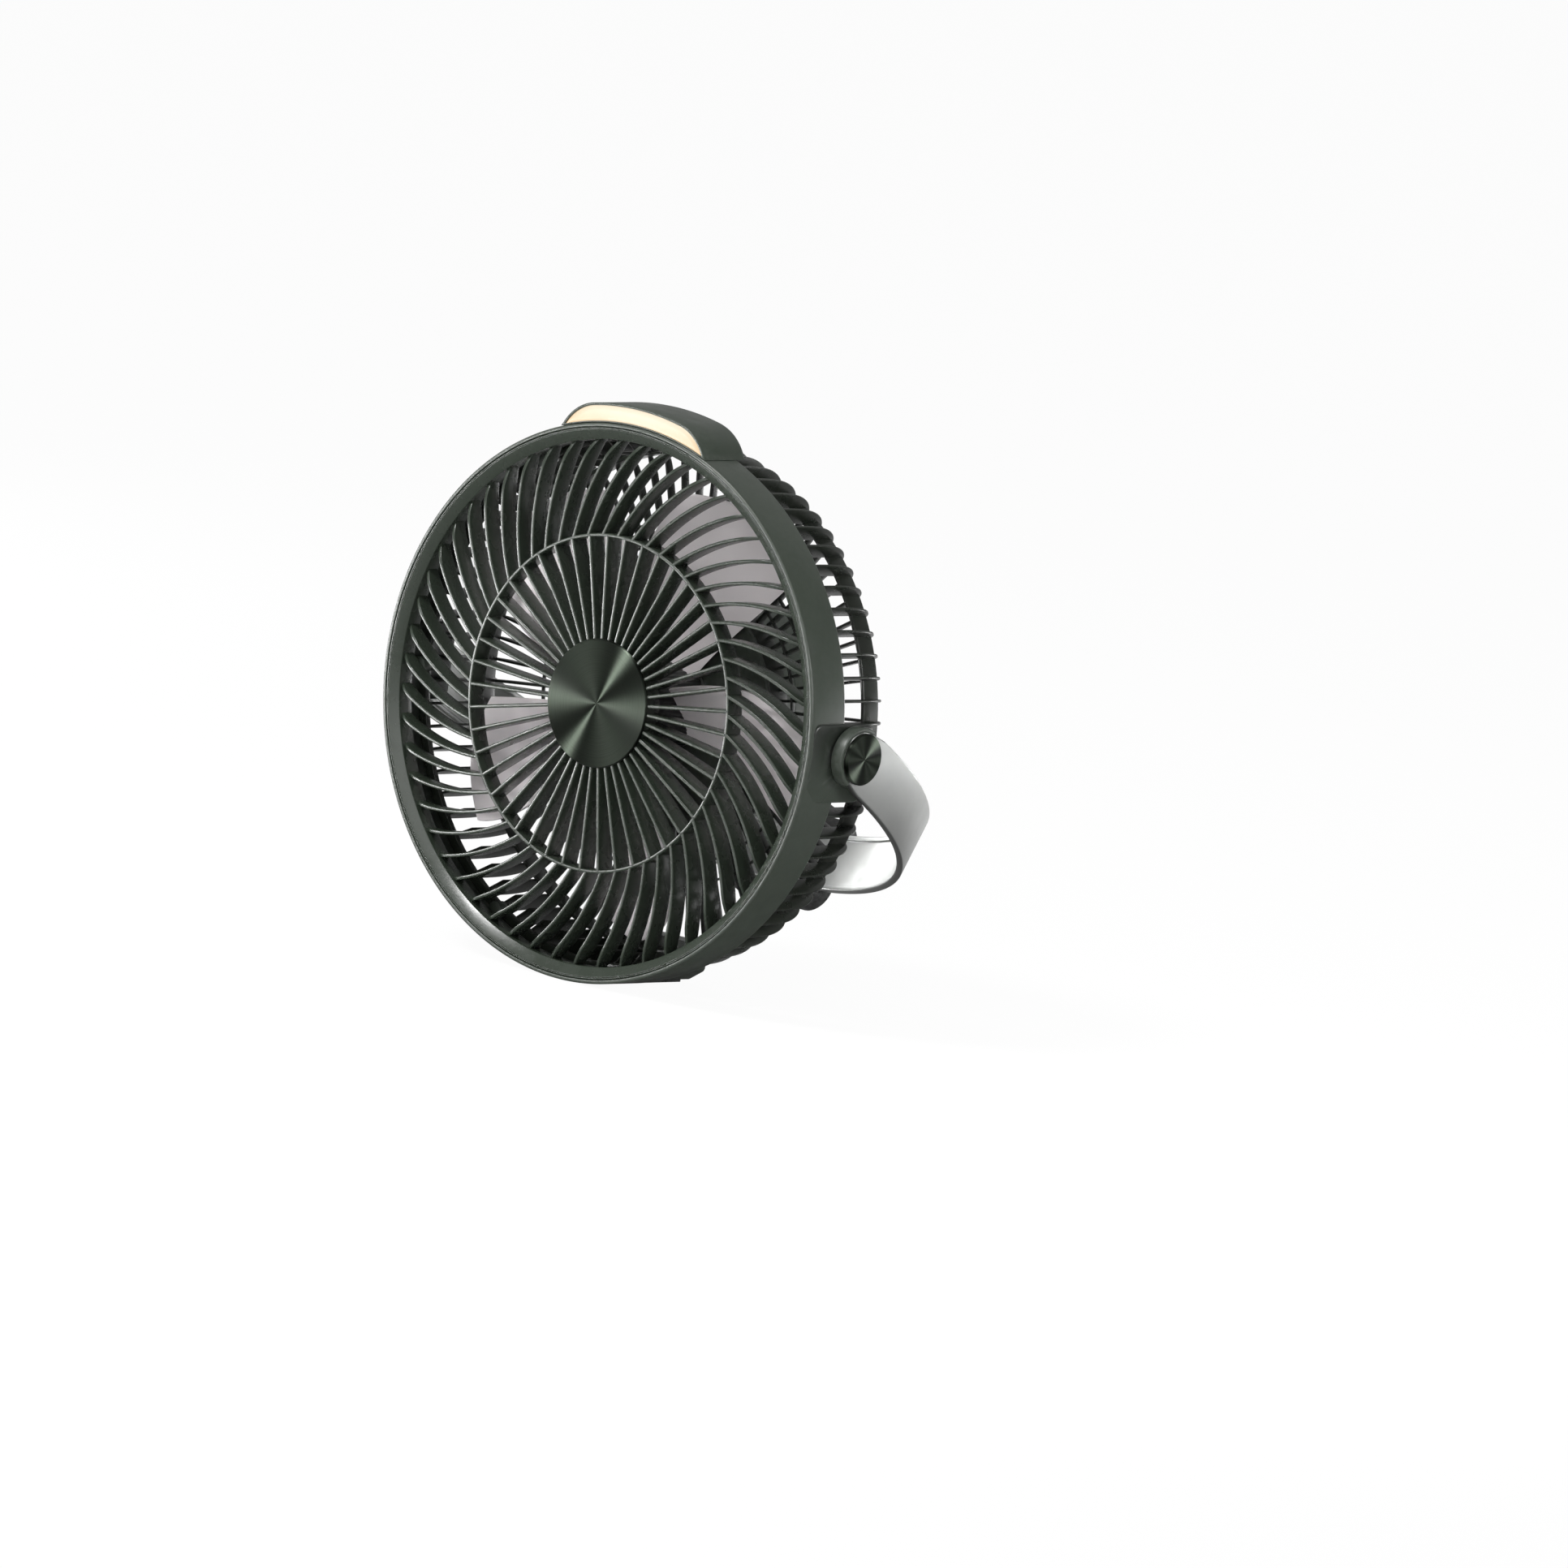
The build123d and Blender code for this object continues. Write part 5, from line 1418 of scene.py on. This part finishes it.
# ---------------------------------------------------------------- stand
@dataclass
class Stand:
    """A flat band bent into a hoop, its hubs, spun caps, and the plate with its pad."""

    half_width: float = 117.2
    straight: float = 10.0
    width: float = 25.0
    thickness: float = 2.0
    lip: float = 0.8
    lip_width: float = 2.2
    arm_end: float = 11.1
    flare: float = 8.0
    hub_radius: float = 12.3
    hub_inner_face: float = 112.1
    collar_gap: float = 0.2
    cap_radius: float = 10.3
    cap_height: float = 1.9
    plate_width: float = 49.0
    plate_height: float = 39.0
    plate_thickness: float = 5.0
    plate_corner: float = 9.0
    pad_thickness: float = 1.0
    pad_inset: float = 2.0
    screw_spacing: float = 28.0

    def section(self) -> Array:
        """The band's section: across from edge to edge, and inward from its outer face, with two low lips."""
        half, deep = self.width / 2, self.thickness + self.lip
        lip_in = half - self.lip_width
        right = [(half, 0.0, 0.7), (half, deep, 0.7), (lip_in, deep, 0.5), (lip_in, self.thickness, 0.6)]
        left = [(-across, inward, radius) for across, inward, radius in reversed(right)]
        return rounded(left[-1:] + right + left[:-1])

    def band(self) -> Shell:
        """The hoop: the section carried along one arm, half a circle and the other arm.

        Near each pivot the section narrows to a round end: its half width there is the root of the end radius
        squared less the distance past the pivot squared.
        """
        past = -self.arm_end * np.sin(np.linspace(math.pi / 2, 0, 14))
        arm = np.concatenate([past, np.linspace(0, self.straight, 7)[1:]])
        half = self.width / 2
        narrow = np.where(arm < 0, np.sqrt(np.clip(self.arm_end**2 - arm**2, 0.04, None)),
                          np.interp(arm, [0, self.flare], [self.arm_end, half]))
        angles = np.linspace(0, math.pi, 98)[1:-1]
        sideways, none, full = np.ones(len(arm)), np.zeros(len(arm)), np.ones(len(angles))
        normal_x = np.concatenate([sideways, np.cos(angles), -sideways])[:, None]
        normal_out = np.concatenate([none, np.sin(angles), none])[:, None]
        base_out = np.concatenate([arm, self.straight * full, arm[::-1]])[:, None]
        scale = np.concatenate([narrow / half, full, narrow[::-1] / half])[:, None]
        across, inward = self.section().T
        reach = self.half_width - inward
        return skin(np.stack([normal_x * reach, base_out + normal_out * reach, across * scale], -1))

    def about_pivot(self, profile: Array, start: float = 0.0, end: float = FULL_TURN) -> Shell:
        """Turn a profile of radius and height along x about the pivot axis, on the right side."""
        shell = turned(profile, 96, start, end)
        out, height, up = shell.points.T
        return replace(shell, points=np.stack([height, out, up], -1))

    def hub(self) -> Shell:
        """The hub: a disc behind the arm and a half collar over the arm's end, up to the cap."""
        radius, base, face = self.hub_radius, self.hub_inner_face, self.half_width - self.thickness - self.lip
        inner, low, top = self.cap_radius + self.collar_gap, face - 0.4, self.half_width + 0.15
        disc = [(0.0, base, 0.0), (radius, base, 0.5), (radius, face, 0.0), (0.0, face, 0.0)]
        collar = [(inner, low, 0.0), (radius, low, 0.0), (radius, top, 0.5), (inner, top, 0.15)]
        return join(
            self.about_pivot(rounded(disc, 4)),
            self.about_pivot(rounded(collar, 4), math.pi / 2, 3 * math.pi / 2),
        )

    def cap(self) -> Shell:
        """The spun cap: undercut at its foot, with a small turned bevel."""
        radius, low, top = self.cap_radius, self.half_width, self.half_width + self.cap_height
        section = [
            (0.0, low, 0.0),
            (radius - 0.5, low, 0.0),
            (radius - 0.5, low + 0.35, 0.1),
            (radius, low + 0.5, 0.1),
            (radius, top - 0.4, 0.15),
            (radius - 0.4, top, 0.1),
            (0.0, top, 0.0),
        ]
        return self.about_pivot(rounded(section, 4))

    def curved_plate(self, trim: float, low: float, high: float, edge: float) -> Shell:
        """A plate with round corners, bent over the hoop's outer face.

        A point x across the plate and t above the hoop is at out = straight + root((half width + t)^2 - x^2).

        Args:
            trim: how far its outline lies inside the plate's.
            low: its inner face over the hoop's outer face.
            high: its outer face over the hoop's outer face.
            edge: rounding of its outer edge.

        Returns:
            The closed plate.
        """
        half, rise = self.plate_width / 2 - trim, self.plate_height / 2 - trim
        outline = rounded(box(-half, -rise, half, rise, self.plate_corner - trim), 10)
        turn = np.linspace(0, math.pi / 2, 6)
        rows = [(share, 0.0, low) for share in np.linspace(0.0, 1.0, 7)]
        rows += [(1.0, edge * (1 - math.cos(a)), high - edge * (1 - math.sin(a))) for a in turn]
        rows += [(share, edge, high) for share in np.linspace(1.0, 0.0, 9)[1:]]
        loops = [np.insert(inset(outline, amount) * max(share, 1e-4), 2, level, axis=1)
                 for share, amount, level in rows]
        x, up, level = np.moveaxis(np.stack(loops), -1, 0)
        out = self.straight + np.sqrt((self.half_width + level) ** 2 - x**2)
        return skin(np.stack([x, out, up], -1))

    def plate_screws(self) -> Shell:
        """Two screw heads on the hoop's inner face, under the plate."""
        head = cross_head(radius=3.0, height=1.4, slot=0.9)
        x, depth, up = head.points.T
        half = self.screw_spacing / 2
        seat = self.straight + math.sqrt((self.half_width - self.thickness) ** 2 - half**2)
        inward_head = replace(head, points=np.stack([x, seat - depth, up], -1))
        return join(inward_head.moved(x=half), inward_head.moved(x=-half))

    def dress(self, bench: Bench) -> None:
        """Make every piece of the stand."""
        bench.piece("stand_hoop", self.band(), "stand_band", "stand_satin", STAND_SATIN)
        hub, cap = self.hub(), self.cap()
        for side, sign in (("right", 1.0), ("left", -1.0)):
            hub_side = hub if sign > 0 else hub.flipped_x()
            cap_side = cap if sign > 0 else cap.flipped_x()
            bench.piece(f"hub_{side}", hub_side, f"stand_hub_{side}", "shell_green", SHELL_GREEN)
            # Each spun cap's colour carries painted highlight lines at 50, -2 and 115 degrees.
            finish = replace(SPUN_GREEN, name=f"spun_cap_painted_highlights_{side}", axis=(1.0, 0.0, 0.0),
                             centre=(sign * self.half_width * MM, 0.0, bench.space.axis_z),
                             painted_streaks=((50.0, 33.0, 1.0), (-2.0, 55.0, 0.25), (115.0, 33.0, 0.2)), painted_peak=44.0)
            bench.piece(f"spun_cap_{side}", cap_side, f"pivot_cap_{side}", "spun_green", finish, crease=25.0)
        seat = self.plate_thickness
        body = self.curved_plate(0.0, 0.0, seat, 0.9)
        bench.piece("foot_plate", body, "stand_plate", "tray", BLACK_TRAY)
        pad = self.curved_plate(self.pad_inset, seat, seat + self.pad_thickness, 0.5)
        bench.piece("foot_plate_pad", pad, "stand_pad", "rubber_dark", RUBBER)
        bench.piece("plate_screw_heads", self.plate_screws(), "plate_screws", "steel", STEEL)


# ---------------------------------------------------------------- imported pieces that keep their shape
KEPT_NODES: dict[str, Finish] = {
    "lamp_leds": LED_YELLOW,
    "foot": SHELL_GREEN,
    "foot_pad": RUBBER,
    "rear_housing": SHELL_GREEN,
    "rear_cover": SHELL_GREEN,
    "motor_can": STEEL,
    "motor_screws": STEEL,
    "motor_bearings": STEEL,
    "motor_winding": COPPER,
    "battery_holder": BLACK_TRAY,
    "battery_cells": CELL_WRAP,
    "control_board": BOARD_GREEN,
    "button_switches": BLACK_TRAY,
    "charge_port": STEEL,
    "charge_lights": LIGHT_PIPE,
    "pivot_screws": STEEL,
    "pivot_washers": BLACK_TRAY,
    "motor_shaft": STEEL,
    "motor_magnet": MAGNET,
}


def dress_kept_nodes(nodes: dict[str, bpy.types.Object], shop: Workshop) -> None:
    """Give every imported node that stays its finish."""
    for name, finish in KEPT_NODES.items():
        node = nodes[name]
        coat = shop.coat(finish)
        if node.material_slots:
            for entry in node.material_slots:
                entry.material = coat
        else:
            node.data.materials.append(coat)
        log.info("%s keeps its packed shape", name)


# ---------------------------------------------------------------- studio
@dataclass
class SoftBox:
    """One soft lamp: its direction from the fan, its distance, size and power."""

    name: str
    direction: tuple[float, float, float]
    distance: float
    width: float
    height: float
    power: float

    def place(self, target: Vector) -> None:
        """Make the lamp and turn it to the fan."""
        data = bpy.data.lights.new(self.name, "AREA")
        data.shape = "RECTANGLE"
        data.size, data.size_y = self.width, self.height
        data.energy = self.power
        lamp = bpy.data.objects.new(self.name, data)
        away = Vector(self.direction).normalized()
        lamp.location = target + away * self.distance
        lamp.rotation_mode = "QUATERNION"
        lamp.rotation_quaternion = away.to_track_quat("Z", "Y")
        bpy.context.scene.collection.objects.link(lamp)


@dataclass
class Studio:
    """A pale floor, a white surround and soft lamps."""

    boxes: tuple[SoftBox, ...] = (
        SoftBox("overhead", (-0.184, -0.62, 0.763), 1.3, 0.26, 0.26, 15.0),
        SoftBox("left_strip", (-0.831, -0.541, -0.1), 0.8, 0.5, 0.06, 4.0),
        SoftBox("rear_left", (-0.93, 0.3, 0.22), 1.3, 0.5, 0.5, 4.0),
        SoftBox("front_fill", (0.35, -0.9, 0.35), 1.8, 1.2, 1.2, 11.0),
        SoftBox("right_rear", (0.64, 0.765, -0.02), 1.2, 0.2, 0.16, 0.55),
        SoftBox("rear_low", (0.25, 0.968, 0.0), 1.3, 0.2, 0.16, 2.0),
        SoftBox("right_side", (0.946, 0.121, 0.3), 1.0, 0.22, 0.22, 4.4),
    )
    surround: float = 0.45
    dark_side: tuple[float, float, float] = (0.66, 0.74, -0.05)
    dark_share: float = 0.25
    front_mirrored: float = 0.3
    rear_mirrored: float = 0.35
    # The floor's level in reflections next to the fan: painted shade.
    near_painted_shade: float = 0.2
    right_mirrored: float = 0.3
    floor_radius: float = 6.0
    floor_white: float = 0.95

    def right_share(self, sheet: NodeSheet, direction: Any) -> Any:
        """What mirrors see of the surroundings: all of it to the left, a share to the right."""
        rightward = sheet.vector("DOT_PRODUCT", direction, (1.0, 0.0, 0.0))
        return sheet.remap(rightward, 0.05, 0.4, 1.0, self.right_mirrored)

    def world(self) -> None:
        """A white ground to the eye, and a dimmer surround as a light and in reflections."""
        world = bpy.data.worlds.new("surround")
        bpy.context.scene.world = world
        sheet = fresh_sheet(world)
        output = sheet.node("ShaderNodeOutputWorld")
        path = sheet.node("ShaderNodeLightPath")
        white, dim = sheet.node("ShaderNodeBackground"), sheet.node("ShaderNodeBackground")
        for background in (white, dim):
            background.inputs["Color"].default_value = (1.0, 1.0, 1.0, 1.0)
        white.inputs["Strength"].default_value = 1.0
        direction = sheet.node("ShaderNodeTexCoord").outputs["Generated"]
        near_dark = sheet.vector("DOT_PRODUCT", direction, Vector(self.dark_side).normalized())
        dark = sheet.remap(near_dark, 0.35, 0.95, 1.0, self.dark_share)
        level = sheet.math("MULTIPLY", dark, self.surround)
        rearward = sheet.vector("DOT_PRODUCT", direction, (0.0, 1.0, 0.0))
        mirrored = sheet.remap(rearward, -0.3, 0.3, self.front_mirrored, self.rear_mirrored)
        mirrored = sheet.math("MULTIPLY", mirrored, self.right_share(sheet, direction))
        gain = sheet.math("MULTIPLY", sheet.math("SUBTRACT", mirrored, level), path.outputs["Is Glossy Ray"])
        sheet.link(sheet.math("ADD", level, gain), dim.inputs["Strength"])
        seen = sheet.math("MAXIMUM", path.outputs["Is Camera Ray"], path.outputs["Is Transmission Ray"])
        mixed = sheet.mix_shaders(seen, dim.outputs[0], white.outputs[0])
        sheet.link(mixed, output.inputs["Surface"])

    def floor(self) -> None:
        """A pale round floor that looks white and keeps a faint shadow; in reflections it carries painted
        shade near the fan.
        """
        angles = np.linspace(0, FULL_TURN, 64, endpoint=False)
        rim = self.floor_radius * np.stack([np.cos(angles), np.sin(angles), 0 * angles], -1)
        mesh = bpy.data.meshes.new("floor")
        mesh.from_pydata(rim, [], [list(range(len(rim)))])
        floor = bpy.data.objects.new("floor", mesh)
        bpy.context.scene.collection.objects.link(floor)
        material = bpy.data.materials.new("floor_pale")
        sheet = fresh_sheet(material)
        output = sheet.node("ShaderNodeOutputMaterial")
        matt = sheet.node("ShaderNodeBsdfDiffuse")
        matt.inputs["Color"].default_value = (0.9, 0.9, 0.9, 1.0)
        path = sheet.node("ShaderNodeLightPath")
        place = sheet.object_place()
        # Painted shade: in reflections the floor is darker out to half a metre from its middle, under the
        # fan.
        mirrored = sheet.remap(sheet.vector("LENGTH", place), 0.1, 0.5, self.near_painted_shade, 1.0)
        right_share = self.right_share(sheet, sheet.vector("NORMALIZE", place))
        mirrored = sheet.math("MULTIPLY", mirrored, right_share)
        lost = sheet.math("MULTIPLY", sheet.math("SUBTRACT", 1.0, mirrored), path.outputs["Is Glossy Ray"])
        glow = sheet.node("ShaderNodeEmission")
        sheet.link(sheet.math("SUBTRACT", 1.0, lost), glow.inputs["Strength"])
        seen = sheet.math("MAXIMUM", path.outputs["Is Camera Ray"], path.outputs["Is Transmission Ray"])
        seen = sheet.math("MAXIMUM", seen, path.outputs["Is Glossy Ray"])
        share = sheet.math("MULTIPLY", seen, self.floor_white)
        mixed = sheet.mix_shaders(share, matt.outputs[0], glow.outputs[0])
        sheet.link(mixed, output.inputs["Surface"])
        mesh.materials.append(material)

    def build(self, target: Vector) -> None:
        """Make the world, the floor and the lamps."""
        self.world()
        self.floor()
        for box in self.boxes:
            box.place(target)
        bpy.context.scene.view_settings.view_transform = "Standard"


@dataclass
class Camera:
    """The viewing camera.

    It looks from a direction off the rim's middle, and is then turned so that this point falls on its pixel.
    """

    frame_size: float = 1932.0
    rim_pixel: tuple[float, float] = (734.9, 866.6)
    pixels_per_mm: float = 3.148
    distance: float = 15000.0
    toward: tuple[float, float, float] = (0.631, -0.765, 0.131)
    right: tuple[float, float, float] = (0.7526, 0.6442, 0.1360)
    sensor: float = 36.0

    def place(self, rim_middle: Vector) -> None:
        """Make the camera.

        Args:
            rim_middle: the middle of the rim's front, in the row frame.
        """
        toward = Vector(self.toward).normalized()
        right = (Vector(self.right) - toward * Vector(self.right).dot(toward)).normalized()
        up = toward.cross(right)
        focal = self.pixels_per_mm * self.distance
        middle = self.frame_size / 2
        ahead = -toward
        ahead += right * (middle - self.rim_pixel[0]) / focal
        ahead -= up * (middle - self.rim_pixel[1]) / focal
        ahead.normalize()
        right = (right - ahead * right.dot(ahead)).normalized()
        up = right.cross(ahead)
        data = bpy.data.cameras.new("view")
        data.sensor_width = self.sensor
        data.lens = focal / self.frame_size * self.sensor
        data.clip_end = 100.0
        camera = bpy.data.objects.new("view", data)
        turn = Matrix((right, up, -ahead)).transposed()
        camera.matrix_world = Matrix.Translation(rim_middle + toward * self.distance * MM) @ turn.to_4x4()
        bpy.context.scene.collection.objects.link(camera)
        bpy.context.scene.camera = camera


def main() -> None:
    """Build the fan's pieces in order, then the studio and the camera."""
    logging.basicConfig(level=logging.INFO, format="%(name)s: %(message)s")
    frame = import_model()
    space = FanSpace.from_frame(frame)
    bench = Bench(space, Workshop())
    for part in (BodyBand(), FrontGuard(), HubCap(), Lamp()):
        part.dress(bench)
    Rotor().dress(replace(bench, body="rotor"))
    for part in (RearCage(), RearDrum()):
        part.dress(bench)
    Stand().dress(replace(bench, space=StandSpace(space.axis_z), body="stand"))
    dress_kept_nodes(frame["nodes"], bench.shop)
    rim_middle = Vector((0.0, space.front_y, space.axis_z))
    Studio().build(rim_middle)
    Camera().place(rim_middle)


if __name__ == "__main__":
    main()
